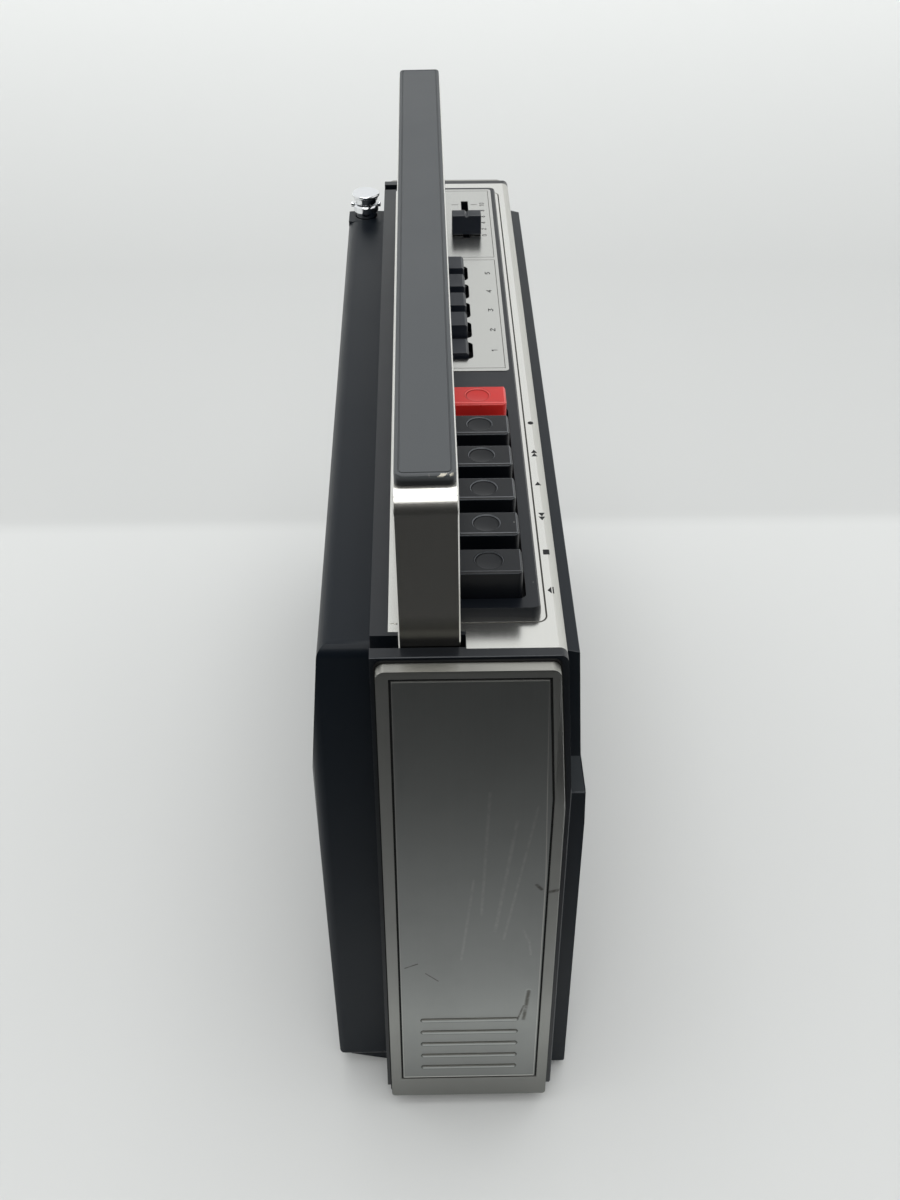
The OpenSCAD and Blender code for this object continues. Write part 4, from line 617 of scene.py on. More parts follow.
def make_materials():
    M["housing"] = moulded("housing_plastic", (0.0036, 0.0052, 0.008), 0.32, dust=0.5, shine=0.5)
    M["cover"] = moulded("cover_plastic", (0.0034, 0.0062, 0.0102), 0.34, grain=0.35, dust=0.4,
                         shine=0.21)
    M["bezel"] = moulded("bezel_plastic", (0.005, 0.0078, 0.0118), 0.33, dust=0.35, shine=0.21)
    # The bezel cheeks' sloping face, painted lighter as it is lit from above: painted light.
    M["worn_face"] = moulded("worn_face_plastic", (0.042, 0.048, 0.054), 0.4, dust=0.8, shine=0.3)
    M["island"] = moulded("island_plastic", (0.0042, 0.0058, 0.0088), 0.3, dust=0.7, shine=0.36)
    M["lid"] = moulded("lid_plastic", (0.016, 0.018, 0.022), 0.3, dust=0.3)
    M["inner"] = moulded("inner_plastic", (0.03, 0.031, 0.034), 0.5)
    M["rubber"] = moulded("foot_rubber", (0.014, 0.014, 0.014), 0.75, grain=0.5, depth=0.03)
    M["light_plastic"] = moulded("light_plastic", (0.62, 0.6, 0.52), 0.4, grain=0.5, spread=0.05)
    M["key_black"] = key_plastic("key_black_plastic", (0.0028, 0.0036, 0.0054), dish=True)
    M["slider_black"] = key_plastic("slider_black_plastic", (0.009, 0.012, 0.018))
    # Lighter plastics for the rounded edges of keys, sliders and cases: painted highlights.
    M["key_edge"] = moulded("key_edge_plastic", (0.07, 0.076, 0.084), 0.25, dust=0.3, shine=0.6)
    M["edge"] = moulded("worn_edge_plastic", (0.035, 0.039, 0.044), 0.28, dust=0.5, shine=0.5)
    M["red_edge"] = moulded("red_edge_plastic", (0.75, 0.09, 0.08), 0.25, dust=0.3, shine=0.6)
    M["key_red"] = key_plastic("key_red_plastic", (0.55, 0.022, 0.018), 0.3, glow=0.12, dish=True)
    M["panel"] = brushed("panel_metal", (0.78, 0.772, 0.73), 0.2, "X", streak=0.04, depth=0.0006)
    # The panel's rounded front edge: a rougher metal, and a darker copy of the panel's colour as painted shade.
    M["panel_edge"] = brushed("panel_edge_metal", (0.6, 0.594, 0.558), 0.5, "X", streak=0.04)
    M["plate"] = brushed("plate_metal", (0.6, 0.598, 0.568), 0.2, "X", streak=0.03, depth=0.0008)
    M["cap"] = cap_metal("cap_metal", (0.395, 0.408, 0.396), 0.32)
    M["cap_band"] = cap_metal("cap_band_metal", (0.42, 0.424, 0.402), 0.41)
    # Bright metal just inside the caps' engraved line: a painted highlight.
    M["cap_line"] = brushed("cap_line_metal", (0.66, 0.655, 0.62), 0.45, "Z", streak=0.05)
    M["cap_rim"] = brushed("cap_rim_metal", (0.38, 0.375, 0.345), 0.42, "Z", streak=0.05)
    # Bright metal on the caps' rounded upright edges: a painted highlight.
    M["cap_edge"] = brushed("cap_edge_metal", (0.9, 0.89, 0.85), 0.4, "Z", streak=0.03)
    # Black for the caps' engraved line, and for the plates of painted shadow in the gaps around the caps.
    M["groove"] = ink("groove_paint", (0.006, 0.006, 0.006), 0.6)
    M["fine_line"] = ink("line_paint", (0.05, 0.048, 0.042))
    # The handle's legs take painted shade towards their feet.
    M["band"] = brushed("band_steel", (0.74, 0.725, 0.67), 0.25, "Z", streak=0.012, depth=0.0001,
                        stains=0.1, vary=0.004, shade_heights=(217, 212.5))
    M["band_edge"] = brushed("band_edge_steel", (0.72, 0.71, 0.68), 0.18, "Z", streak=0.04)
    M["grip"] = grip_paint()
    M["chrome"] = plated("chrome_plate", (0.86, 0.87, 0.88), 0.06, 0.03)
    M["steel"] = plated("zinc_plate", (0.6, 0.6, 0.57), 0.32, 0.2)
    M["brass"] = plated("brass_sheet", (0.72, 0.52, 0.22), 0.28, 0.2)
    M["ferrite"] = plated("ferrite_rod", (0.05, 0.05, 0.052), 0.6, 0.3)
    M["cone"] = cone_paper()
    M["board"] = board_laminate()
    M["ink_black"] = ink("ink_black", (0.015, 0.015, 0.016))
    M["ink_white"] = ink("ink_white", (0.85, 0.85, 0.8))
    M["window"] = clear_plastic("window_plastic", (0.95, 0.97, 0.97), 0.03)
    M["smoked"] = clear_plastic("smoked_plastic", (0.45, 0.46, 0.47), 0.04)
    M["scale"] = moulded("scale_card", (0.012, 0.014, 0.018), 0.5, grain=0.6, spread=0.05)
    M["pointer"] = moulded("pointer_plastic", (0.75, 0.05, 0.03), 0.35, grain=0.5, spread=0.06)
    M["trim"] = brushed("trim_metal", (0.72, 0.715, 0.68), 0.22, "X", streak=0.03, depth=0.0008)
    M["grille"] = moulded("grille_paint", (0.02, 0.021, 0.022), 0.45, grain=0.4)
    M["knob"] = turned_metal("knob_metal", (0.62, 0.62, 0.6), 0.26, knob_centre())


# The look of each slot of the record whose nodes still show, and of the nodes that differ from their slot
SLOT_LOOKS = {
    "body_black": "housing", "panel_black": "inner", "silver": "panel", "clear": "window",
    "scale": "scale", "pointer_red": "pointer", "knob_metal": "knob", "steel": "steel",
    "light_plastic": "light_plastic", "grille": "grille", "cone_paper": "cone", "brass": "brass",
    "rubber": "rubber", "handle_steel": "band", "grip": "grip", "key_black": "key_black",
    "key_red": "key_red", "chrome": "chrome", "board": "board", "ferrite": "ferrite",
}
NODE_LOOKS = {
    "cassette_window": "smoked", "band_switch": "inner", "key_guide": "inner", "slide_controls": "inner",
}


def paint_nodes():
    """Gives each CAD node that still shows the material of its slot."""
    for name, node in NODES.items():
        for slot in node.material_slots:
            slot_name = slot.material.name.split(".")[0]
            slot.material = M[NODE_LOOKS.get(name, SLOT_LOOKS[slot_name])]


def knob_centre():
    """The tuning knob's axis: its X and Z, in metres."""
    low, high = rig.box("tuning_knob")
    return (low.x + high.x) / 2, (low.z + high.z) / 2


# Building pieces

WELD, PRINT_WELD = 0.002, 0.001
# Angles between two faces: these in degrees, and the next in radians
FLAT_WITHIN, ROUND_FROM = 0.6, 32
SHARP, RIGHT_ANGLED = 0.8, 1.2
# How much of a face's normal lies along the axis that it looks along
SQUARE_ON = 0.9
RAY_START = 20


def place_piece(name, mesh, body):
    piece = new_object(name, mesh)
    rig.ride(piece, body)
    return piece


def sharp_edges(bm, angle=SHARP):
    return [e for e in bm.edges if e.calc_face_angle(0) > angle]


def round_edges(bm, edges, offset, segments=2, clamp=True, look=0):
    """Rounds edges. look is the number of the new faces' material, or -1 for that of the faces beside."""
    bmesh.ops.bevel(bm, geom=edges, offset=offset * MM, segments=segments, affect="EDGES",
                    clamp_overlap=clamp, material=look)


def clean_mesh(node, join):
    """A node's mesh with its corners welded and, if join is set, its triangles joined into flat faces."""
    bm = bmesh.new()
    bm.from_mesh(NODES[node].data)
    bmesh.ops.remove_doubles(bm, verts=bm.verts, dist=WELD * MM)
    if join:
        bmesh.ops.dissolve_limit(bm, angle_limit=math.radians(FLAT_WITHIN), verts=bm.verts,
                                 edges=bm.edges)
    for f in bm.faces:
        f.material_index = 0
    return bm


def dressed(node, width, looks, marks=(), segments=2, edge=None, join=True, shape=None):
    """A copy of a node with rounded edges, which stands for it. marks are tests of a flat face's middle,
    normal and furthest point back, in mm: a face that passes the first has the second of looks, and so on.
    edge is the look of the rounded edges. join is whether triangles are joined first, and shape works on
    the mesh after that."""
    bm = clean_mesh(node, join)
    if shape:
        shape(bm)
    for f in bm.faces:
        middle = f.calc_center_median() / MM
        back = max(v.co.y for v in f.verts) / MM
        for i, test in enumerate(marks):
            if test(middle, f.normal, back):
                f.material_index = i + 1
    mesh = mesh_of(bm, node + "_form", *looks, *([edge] if edge else []))
    for layer in ("custom_normal", "sharp_face", "sharp_edge"):
        if layer in mesh.attributes:
            mesh.attributes.remove(mesh.attributes[layer])
    maker = new_object(node + "_maker", mesh)
    mesh.shade_smooth()
    bevel = maker.modifiers.new("edges", "BEVEL")
    bevel.width = width * MM
    bevel.segments = segments
    bevel.limit_method = "ANGLE"
    bevel.angle_limit = math.radians(ROUND_FROM)
    bevel.miter_outer = "MITER_ARC"
    bevel.use_clamp_overlap = True
    bevel.material = len(looks) if edge else -1
    flat = maker.modifiers.new("normals", "WEIGHTED_NORMAL")
    flat.keep_sharp = False
    flat.weight = 80
    ready = bpy.data.meshes.new_from_object(maker.evaluated_get(bpy.context.evaluated_depsgraph_get()))
    ready.name = node + "_skin"
    bpy.data.objects.remove(maker)
    bpy.data.meshes.remove(mesh)
    piece = place_piece(node + "_skin", ready, NODES[node]["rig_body"])
    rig.replaces(piece, node)
    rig.slot(piece, NODES[node].material_slots[0].material.name.split(".")[0])


def surface_of(node):
    bm = bmesh.new()
    bm.from_mesh(NODES[node].data)
    tree = BVHTree.FromBMesh(bm)
    bm.free()
    return tree


# Which ways are right and up for whoever looks at a print
UPWARD = ((1, 0, 0), (0, 1, 0))
FORWARD = ((1, 0, 0), (0, 0, 1))
BACKWARD = ((-1, 0, 0), (0, 0, 1))
SIDEWAYS = {side: ((0, side, 0), (0, 0, 1)) for side in (-1, 1)}


def printed(name, node, outlines, start, right, up, look, proud=0.03, sunk=0.05, cuts=(), soft=0):
    """Thin print on a node's surface. Outlines are lists of points in mm, along right and up from start,
    and each point is carried straight onto the surface. proud and sunk are how far the print reaches out of
    the surface and into it, cuts are heights where it bends with the surface, and soft is the rounding of a
    raised piece's edges."""
    start, right, up = Vector(start) * MM, Vector(right), Vector(up)
    inward = -right.cross(up)
    tree = surface_of(node)
    bm = bmesh.new()
    for outline in outlines:
        bm.faces.new([bm.verts.new(start + (right * a + up * b) * MM) for a, b in outline])
    bmesh.ops.remove_doubles(bm, verts=bm.verts, dist=PRINT_WELD * MM)
    for cut in cuts:
        whole = bm.verts[:] + bm.edges[:] + bm.faces[:]
        bmesh.ops.bisect_plane(bm, geom=whole, plane_co=start + up * cut * MM, plane_no=up)
    for v in bm.verts:
        hit = tree.ray_cast(v.co - inward * RAY_START * MM, inward)[0]
        if hit is None:
            raise RuntimeError(f"{name}: nothing of {node} below {tuple(v.co)}")
        v.co = hit - inward * proud * MM
    grown = bmesh.ops.extrude_face_region(bm, geom=bm.faces[:])["geom"]
    for v in (g for g in grown if isinstance(g, bmesh.types.BMVert)):
        v.co += inward * (proud + sunk) * MM
    bmesh.ops.recalc_face_normals(bm, faces=bm.faces)
    if soft:
        round_edges(bm, sharp_edges(bm), soft)
    place_piece(name, mesh_of(bm, name, look), NODES[node]["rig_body"])


def strips(outer, inner):
    """A closed outline drawn as one strip per side, between its outer and its inner points."""
    count = len(outer)
    return [[outer[i], outer[(i + 1) % count], inner[(i + 1) % count], inner[i]] for i in range(count)]


def outline_strips(points, width):
    """The strips of a line inside a closed outline of points, about as wide as width."""
    middle = sum((Vector(p) for p in points), Vector((0, 0))) / len(points)
    at_corner = 1.2
    inner = [tuple(Vector(p) + (middle - Vector(p)).normalized() * width * at_corner) for p in points]
    return strips(points, inner)


def bar(a0, b0, a1, b1):
    return [(a0, b0), (a1, b0), (a1, b1), (a0, b1)]


def disc(a, b, r):
    points = 24
    return [(a + r * math.cos(t), b + r * math.sin(t))
            for t in (2 * math.pi * i / points for i in range(points))]


def mitred(a0, b0, a1, b1, w):
    """Four pieces that join into a rectangular ring of width w, inside the rectangle."""
    return strips(bar(a0, b0, a1, b1), bar(a0 + w, b0 + w, a1 - w, b1 - w))


def frame_lines(a0, b0, a1, b1, w):
    """Four bars that make a rectangle's outline."""
    return [bar(a0, b0, a1, b0 + w), bar(a0, b1 - w, a1, b1), bar(a0, b0 + w, a0 + w, b1 - w),
            bar(a1 - w, b0 + w, a1, b1 - w)]


# Digits drawn with a pen on a grid 2 wide and 4 high
DIGITS = {
    "0": [[(0, 1), (0, 3), (1, 4), (2, 3), (2, 1), (1, 0), (0, 1)]],
    "1": [[(0.4, 3.2), (1.2, 4), (1.2, 0)]],
    "2": [[(0, 3.2), (1, 4), (2, 3.1), (0, 0), (2, 0)]],
    "3": [[(0, 4), (2, 4), (0.9, 2.4), (2, 1.4), (1, 0), (0, 0.6)]],
    "4": [[(1.5, 0), (1.5, 4), (0, 1.2), (2, 1.2)]],
    "5": [[(2, 4), (0.2, 4), (0.1, 2.3), (1.2, 2.5), (2, 1.3), (1, 0), (0, 0.5)]],
    "6": [[(1.8, 4), (0.5, 2.8), (0, 1.2), (1, 0), (2, 1), (1.2, 2.2), (0.2, 1.8)]],
    "7": [[(0, 4), (2, 4), (0.7, 0)]],
    "8": [[(1, 2.1), (0.2, 3), (1, 4), (1.8, 3), (1, 2.1), (0, 1), (1, 0), (2, 1), (1, 2.1)]],
    "9": [[(0.2, 0), (1.5, 1.2), (2, 2.8), (1, 4), (0, 3), (0.8, 1.8), (1.8, 2.2)]],
}


def number(text, a, b, height, pen, wide):
    """Outlines of a number whose middle is at a, b. pen is the width of its strokes, and wide is the width
    of a digit over its height."""
    unit, across = height / 4, height * wide / 2
    step = 3 * across
    left = a - (step * (len(text) - 1) + 2 * across) / 2
    outlines = []
    for i, digit in enumerate(text):
        for line in DIGITS[digit]:
            points = [Vector((left + i * step + x * across, b + (y - 2) * unit)) for x, y in line]
            for p, q in zip(points, points[1:]):
                way = (q - p).normalized() * pen / 2
                side = Vector((-way.y, way.x))
                outlines.append([tuple(v) for v in (p - way - side, q + way - side, q + way + side,
                                                    p - way + side)])
    return outlines


# Pieces of the top

LEGS_BACK = 19.8
PANEL_FRONT = -24.0
LINE_LOW, LINE_HIGH = PANEL_TOP - 0.35, PANEL_TOP - 0.2


def in_line(middle, normal):
    """Whether a face of the top panel is the floor of its engraved line."""
    return normal.z > SQUARE_ON and LINE_LOW < middle.z < LINE_HIGH


def cut_line(bm):
    """Cuts the engraved line's floor behind the handle's legs, because no paint is left in it there."""
    floor = [f for f in bm.faces if in_line(f.calc_center_median() / MM, f.normal)]
    edges = [e for e in bm.edges if any(f in floor for f in e.link_faces)]
    verts = [v for v in bm.verts if any(f in floor for f in v.link_faces)]
    bmesh.ops.bisect_plane(bm, geom=floor + edges + verts, plane_co=(0, LEGS_BACK * MM, 0),
                           plane_no=(0, 1, 0))


def dress_top():
    def painted(m, n, back):
        return in_line(m, n) and back < LEGS_BACK + 0.1

    def front_edge(m, n, back):
        return n.y < -0.05 and m.y < PANEL_FRONT

    dressed("top_panel", 0.1, ["panel", "fine_line", "panel_edge"], [painted, front_edge],
            shape=cut_line)
    dressed("control_island", 0.25, ["island"], edge="edge")
    dressed("control_plate", 0.12, ["plate"])
    for name in KEYS[:-1]:
        dressed(name, 0.34, ["key_black"], segments=3, edge="key_edge")
    dressed(KEYS[-1], 0.34, ["key_red"], segments=3, edge="red_edge")
    for name in BAND_KEYS:
        dressed(name, 0.4, ["slider_black"], segments=3, edge="edge")
    for name in ("volume_slider", "tone_slider"):
        dressed(name, 0.3, ["slider_black"], edge="edge")


RAIL_Y = -24.1
RAIL_MARKS = [-131.6, -113.5, -95.5, -77.7, -60.2, -41.9]


def dress_rail():
    """Neutral symbols on the silver rail in front of the keys, cut to bend with its rounded front."""
    def triangle(a, way):
        return [(a - way * 0.95, -1), (a + way * 0.95, 0), (a - way * 0.95, 1)]

    eject, stop, rewind, play, forward, record = RAIL_MARKS
    outlines = [
        [(eject - 1.5, -0.2), (eject + 1.5, -0.2), (eject, 0.95)],
        bar(eject - 1.5, -0.9, eject + 1.5, -0.5),
        bar(stop - 1.2, -0.95, stop + 1.2, 0.95),
        triangle(rewind - 1, -1), triangle(rewind + 1, -1),
        triangle(play, 1),
        triangle(forward - 1, 1), triangle(forward + 1, 1),
        disc(record, 0, 0.95),
    ]
    cuts = [-0.9 + 0.15 * i for i in range(9)]
    printed("rail_symbols", "top_panel", outlines, (0, RAIL_Y, PANEL_TOP), *UPWARD, "ink_black",
            cuts=cuts)


PLATE_TOP = 209.6
PLATE_LINES = (-11.5, -17.3, 140.3, 16.3)
PLATE_SPLIT = (73.5, 75.7)
VOLUME_NUMBERS = (96.0, 126.0)
NUMBER_Y, BAND_NUMBER_Y, NUMBER_HEIGHT = -14.2, -14, 1.7
FRAME_PEN, TICK_PEN = 0.22, 0.12
# From where to where along Y the ticks of the tone slider and the lines at the far end of the slots reach
TONE_TICKS = (11.6, 12.8)
SLOT_END_MARKS = ((-12.2, -9.6), (-4.4, -1.6), (4.4, 5.6), (11.6, 13.6))


def dress_plate():
    """Fine frame lines, a number for each step of the sliders and for each band key."""
    def tick(x, low, high):
        return bar(x - TICK_PEN, low, x + TICK_PEN, high)

    x0, y0, x1, y1 = PLATE_LINES
    left, right = PLATE_SPLIT
    lines = frame_lines(x0, y0, left, y1, FRAME_PEN) + frame_lines(right, y0, x1, y1, FRAME_PEN)
    printed("plate_lines", "control_plate", lines, (0, 0, PLATE_TOP), *UPWARD, "fine_line", proud=0.015)
    first, last = VOLUME_NUMBERS
    outlines = []
    for i in range(6):
        x = first + (last - first) * i / 5
        outlines += number(str(2 * i), x, NUMBER_Y, NUMBER_HEIGHT, 0.24, 0.8)
        outlines.append(tick(x, *TONE_TICKS))
    outlines += [tick(last, low, high) for low, high in SLOT_END_MARKS]
    for i in range(5):
        low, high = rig.box(BAND_KEYS[i])
        middle = (low.x + high.x) / 2 / MM
        outlines += number(str(i + 1), middle, BAND_NUMBER_Y, NUMBER_HEIGHT, 0.3, 1.0)
    printed("plate_numbers", "control_plate", outlines, (0, 0, PLATE_TOP), *UPWARD, "ink_black")


# Pieces of the ends and the handle

CAP_FIELD = [(21.05, 17.15), (21.05, 201.25), (-21.55, 201.25), (-24.05, 120.8), (-23.85, 17.15)]
# The engraved line lies within this Y, the flat band behind this one, and the round edges beyond this one
LINE_Y, BAND_Y, EDGE_Y = 25.5, 24, 24.5
EDGE_BOTTOM, EDGE_TOP = 8, CAP_TOP - 2.5
LONG_EDGE = 20
IN_PLANE = 0.05


def in_end(v, x):
    """Whether a corner lies in either of the two planes across X at x mm."""
    return abs(abs(v.co.x) / MM - x) < IN_PLANE


def round_long_edges(bm, offset, outside, face_x, look):
    """Rounds the long sharp edges that lie in an end face and pass the test outside, given their middle."""
    edges = []
    for e in sharp_edges(bm, RIGHT_ANGLED):
        middle = (e.verts[0].co + e.verts[1].co) / 2 / MM
        long = e.calc_length() > LONG_EDGE * MM
        if long and all(in_end(v, face_x) for v in e.verts) and outside(middle):
            edges.append(e)
    round_edges(bm, edges, offset, segments=3, clamp=False, look=look)


def shape_cap(bm):
    """A cap's top edge is nearly sharp, and its upright edges are round."""
    edge_width, edge_height, sharper = 0.7, 0.5, 4
    side = 25.2
    for v in bm.verts:
        x = abs(v.co.x) / MM
        if CAP_FACE - edge_width < x < CAP_FACE and v.co.z > (CAP_TOP - edge_height) * MM:
            v.co.x = math.copysign(CAP_FACE - (CAP_FACE - x) / sharper, v.co.x) * MM
    round_long_edges(bm, 0.35, lambda m: abs(m.y) > side, CAP_FACE, 0)


def shape_housing(bm):
    """Rounds the housing's long edges along the top and the front of its ends."""
    top, front = 205.9, -30.4
    # The rounded edges take the lighter edge plastic: a painted highlight.
    round_long_edges(bm, 0.3, lambda m: m.z > top or m.y < front, HOUSING_END, 1)


def cap_shadow_plate(name, side):
    """Painted shadow in the gap around an end cap's sides and top: a thin black plate behind it, a little larger."""
    places = {(round(v.co.y / MM, 2), round(v.co.z / MM, 2)) for v in NODES[name].data.vertices
              if in_end(v, HOUSING_END)}
    places = sorted(places)
    grow = 0.5
    outline = []
    for i in convex_hull_2d([Vector(p) for p in places]):
        y, z = places[i]
        outline.append((side * (y + math.copysign(grow, y)), z + (grow if z > CAP_TOP / 2 else 0)))
    printed(name + "_gap", "housing_frame", [outline], (side * HOUSING_END, 0, 0), *SIDEWAYS[side],
            "groove", proud=0.8, sunk=0.3)


def dress_ends():
    """The end caps with their engraved line, sides, flat band at the back and round edges in bright metal as a
    painted highlight, black plates as painted shadow in the gaps around them, bright lines inside their
    engraved line as painted highlights, the housing and the feet."""
    def groove(m, n, back):
        deep = CAP_FACE - 0.4 < abs(m.x) < CAP_FACE - 0.2
        return abs(n.x) > SQUARE_ON and deep and abs(m.y) < LINE_Y

    def rim(m, n, back):
        return abs(n.x) < SQUARE_ON

    def outer_band(m, n, back):
        return abs(n.x) > SQUARE_ON and abs(m.x) > CAP_FACE - 0.1 and back > BAND_Y

    # Faces of the caps' round upright edges, which take bright metal as a painted highlight.
    def round_edge(m, n, back):
        return 0.3 < abs(n.x) < 0.97 and abs(m.y) > EDGE_Y and EDGE_BOTTOM < m.z < EDGE_TOP

    for name, side in (("end_cap_left", -1), ("end_cap_right", 1)):
        dressed(name, 0.15, ["cap", "groove", "cap_rim", "cap_band", "cap_edge"],
                [groove, rim, outer_band, round_edge], shape=shape_cap)
        cap_shadow_plate(name, side)
        # A bright line inside the engraved line: a painted highlight.
        field = outline_strips([(side * y, z) for y, z in CAP_FIELD], 0.3)
        printed(name + "_line", name, field, (side * CAP_FACE, 0, 0), *SIDEWAYS[side], "cap_line",
                proud=0.02)
    dressed("housing_frame", 0.3, ["housing"], edge="edge", shape=shape_housing)
    dressed("feet", 0.5, ["rubber"])


def dress_handle():
    def side(m, n, back):
        return abs(n.y) > 0.35

    dressed("handle_band", 0.12, ["band", "band_edge"], [side])
    dressed("handle_grip", 0.25, ["grip"])


# Pieces of the front and back

# Planes across Y that prints are drawn on before they are carried onto the surface
DIAL_PLANE, FRAME_PLANE, KNOB_PLANE, DOOR_PLANE = (0, -40, 0), (0, -45, 0), (0, -60, 0), (0, 60, 0)
# Each line's height, the number of its band key, and its numbers by X
DIAL_LINES = [
    (167.0, "5", [(-92, "88"), (-56, "92"), (-18, "96"), (20, "100"), (62, "104"), (104, "108")]),
    (173.6, "4", [(-96, "6"), (-62, "7"), (-30, "8"), (0, "9"), (30, "10"), (66, "12"), (108, "16")]),
    (180.2, "3", [(-100, "55"), (-66, "60"), (-30, "70"), (4, "80"), (40, "100"), (76, "120"),
                  (110, "160")]),
    (186.8, "2", [(-98, "150"), (-56, "180"), (-10, "200"), (42, "250"), (100, "300")]),
]


def dress_dial():
    """The scale's printed lines: each has the number of its band key, ticks and plain numbers."""
    key_x, left, right, below, above = -125, -118, 120, 2.3, 1.95
    first_tick, pitch, ticks, half_pen, tall, short = -116, 4, 60, 0.15, 0.7, 1.2
    outlines = []
    for z, key, numbers in DIAL_LINES:
        outlines.append(bar(left, z - below, right, z - above))
        outlines += number(key, key_x, z - 0.4, 3.0, 0.5, 0.62)
        for i in range(ticks):
            x = first_tick + pitch * i
            outlines.append(bar(x - half_pen, z - above, x + half_pen, z - (short if i % 5 else tall)))
        for x, text in numbers:
            outlines += number(text, x, z + 0.8, 2.5, 0.42, 0.62)
    printed("dial_print", "dial_scale", outlines, DIAL_PLANE, *FORWARD, "ink_white", proud=0.02)


def ridges(x0, x1, low, height, pitch):
    """Four bars above each other, for a finger to hold on to."""
    return [bar(x0, low + pitch * i, x1, low + height + pitch * i) for i in range(4)]


def dress_trims():
    """Thin bright frames around dial, loudspeaker and lid window, ridges on the lid and the knob's mark."""
    dial = mitred(-139.3, 159.7, 139.3, 192.3, 2.0)
    grille = mitred(-18.6, 16.4, 98.6, 125.6, 1.3)
    window = mitred(-124.5, 64.6, -47.5, 110.0, 0.8)
    for name, node, outlines, plane, proud, sunk, soft in (
            ("dial_trim", "front_bezel", dial, DIAL_PLANE, 0.5, 0.3, 0.2),
            ("grille_trim", "speaker_grille", grille, FRAME_PLANE, 0.5, 0.3, 0.2),
            ("lid_trim", "cassette_lid", window, FRAME_PLANE, 0.2, 0.2, 0.08)):
        printed(name, node, outlines, plane, *FORWARD, "trim", proud, sunk, soft=soft)
    printed("lid_ridges", "cassette_lid", ridges(-98, -74, 55.6, 0.8, 1.7), FRAME_PLANE, *FORWARD, "lid",
            proud=0.35, sunk=0.2, soft=0.15)
    x, z = (c / MM for c in knob_centre())
    mark_height, mark_radius = 12.2, 0.9
    printed("knob_mark", "tuning_knob", [disc(x, z + mark_height, mark_radius)], KNOB_PLANE, *FORWARD,
            "ink_black")


def dress_door():
    """Finger ridges and an opening arrow on the battery door."""
    printed("door_ridges", "battery_door", ridges(-9.2, 55.2, 50.5, 0.9, 1.9), DOOR_PLANE, *BACKWARD,
            "cover", proud=0.45, sunk=0.2, soft=0.2)
    arrow = [(21, 47.6), (25, 47.6), (23, 44.8)]
    printed("door_arrow", "battery_door", [arrow], DOOR_PLANE, *BACKWARD, "inner", proud=0.25, soft=0.1)


BEZEL_END, BEZEL_BACK = 147.8, -30.55
# The cheeks' heights, each with their front and with how far they stand out there
CHEEK = [(3.0, -36.55, 1.5), (128.0, -36.62, 1.5), (142.0, -36.22, 1.5), (156.0, -34.02, 0.05)]
CHEEK_ROOT, CHEEK_FRONT = 0.6, -34


def bezel_cheeks():
    """The bezel's ends stand out below, up to a sloping face painted lighter as lit from above, with a painted
    highlight along its crest.
    """
    # Material 1 is the sloping face, painted lighter as lit from above, and 2 is the crest's painted highlight.
    bezel, worn, crest = 0, 1, 2
    for name, side in (("bezel_cheek_left", -1), ("bezel_cheek_right", 1)):
        bm = bmesh.new()
        rings = []
        for z, front, out in CHEEK:
            inner, outer = side * (BEZEL_END - CHEEK_ROOT), side * (BEZEL_END + out)
            places = ((inner, BEZEL_BACK), (outer, BEZEL_BACK), (outer, front), (inner, front))
            rings.append([bm.verts.new(Vector((*p, z)) * MM) for p in places])
        bm.faces.new(rings[0])
        bm.faces.new(rings[-1])
        for low, high in zip(rings, rings[1:]):
            for j in range(4):
                face = bm.faces.new((low[j], low[(j + 1) % 4], high[(j + 1) % 4], high[j]))
                face.material_index = worn if low is rings[2] and j == 1 else bezel
        bmesh.ops.recalc_face_normals(bm, faces=bm.faces)
        upright = [e for e in sharp_edges(bm)
                   if all(abs(v.co.x) > BEZEL_END * MM and v.co.y < CHEEK_FRONT * MM for v in e.verts)]
        round_edges(bm, upright, 0.3, look=-1)
        crest_z = CHEEK[2][0]
        level = [e for e in bm.edges if all(abs(v.co.z / MM - crest_z) < 0.3
                                            and abs(v.co.x) > (BEZEL_END + 1) * MM for v in e.verts)]
        round_edges(bm, level, 0.4, look=crest)
        mesh = mesh_of(bm, name, "bezel", "worn_face", "key_edge")
        place_piece(name, mesh, NODES["front_bezel"]["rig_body"])


def dress_front():
    dressed("front_bezel", 0.35, ["bezel"], edge="edge")
    bezel_cheeks()
    dressed("cassette_lid", 0.3, ["lid"])
    dressed("speaker_grille", 0.12, ["grille"], join=False)
    dressed("tuning_knob", 0.15, ["knob"])


AERIAL = (142.5, 35.0)
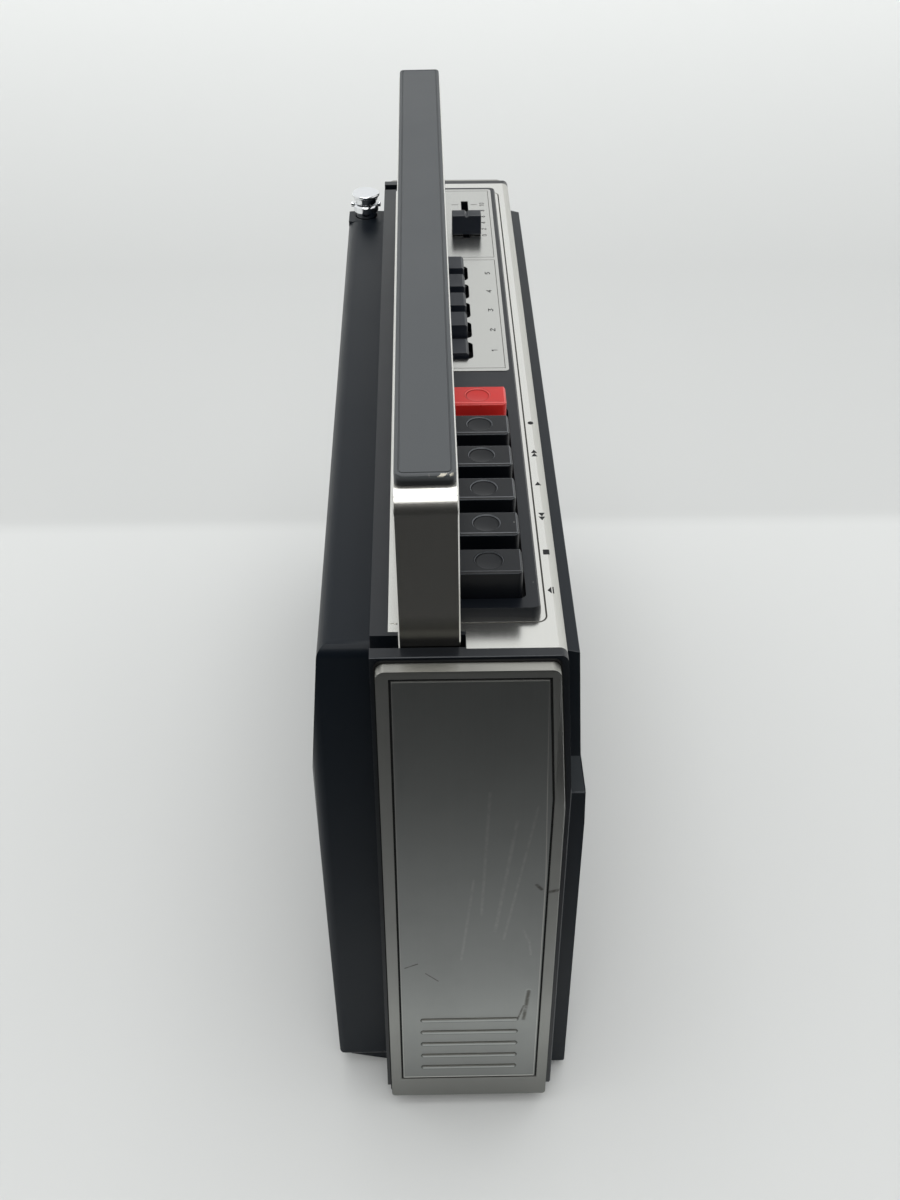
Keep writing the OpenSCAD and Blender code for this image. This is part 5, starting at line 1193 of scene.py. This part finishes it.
# The seat's box: its left, front, right, back, bottom and top
SEAT_BOX = (135.6, 27.3, 146.8, 42.4, 190.5, 198.1)


def aerial_seat():
    """The dark plastic seat around the aerial's neck, in the back cover's corner."""
    x0, y0, x1, y1, z0, z1 = SEAT_BOX
    neck, wall, turns = 4.75, 0.1, 32
    bm = bmesh.new()
    rings = []
    for z in (z0, z1):
        inner, outer = [], []
        for j in range(turns):
            a = 2 * math.pi * (j + 0.5) / turns
            x, y = math.cos(a), math.sin(a)
            reach = min((x1 - AERIAL[0] if x > 0 else AERIAL[0] - x0) / abs(x),
                        (y1 - AERIAL[1] if y > 0 else AERIAL[1] - y0) / abs(y))
            for ring, r in ((inner, neck), (outer, max(reach, neck + wall))):
                ring.append(bm.verts.new(((AERIAL[0] + r * x) * MM, (AERIAL[1] + r * y) * MM, z * MM)))
        rings.append((inner, outer))
    (low_in, low_out), (high_in, high_out) = rings
    for j in range(turns):
        k = (j + 1) % turns
        for a, b in ((low_out, high_out), (high_out, high_in), (high_in, low_in), (low_in, low_out)):
            bm.faces.new((a[j], a[k], b[k], b[j]))
    bmesh.ops.recalc_face_normals(bm, faces=bm.faces)
    rim = [e for e in sharp_edges(bm) if all(v.co.z > (z1 - 0.01) * MM for v in e.verts)]
    round_edges(bm, rim, 0.25)
    place_piece("aerial_seat", mesh_of(bm, "aerial_seat", "cover"), NODES["back_cover"]["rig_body"])


def dress_back():
    dressed("back_cover", 0.4, ["cover"], edge="edge")
    dressed("battery_door", 0.35, ["cover"])
    dressed("cover_screws", 0.12, ["steel"])
    dressed("mains_inlet", 0.2, ["inner"])
    dressed("aerial_tube", 0.12, ["chrome"])
    dressed("aerial_tip", 0.2, ["chrome"])
    aerial_seat()


make_camera()
make_sweep()
make_dark_card()
make_light()
make_materials()
dress_top()
dress_rail()
dress_plate()
dress_ends()
dress_handle()
dress_front()
dress_dial()
dress_trims()
dress_back()
dress_door()
paint_nodes()

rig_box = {"cad": [list(v) for v in CAD_BOX], "visual": [list(v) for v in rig.bounds()]}
json.dump(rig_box, open("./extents.json", "w"))
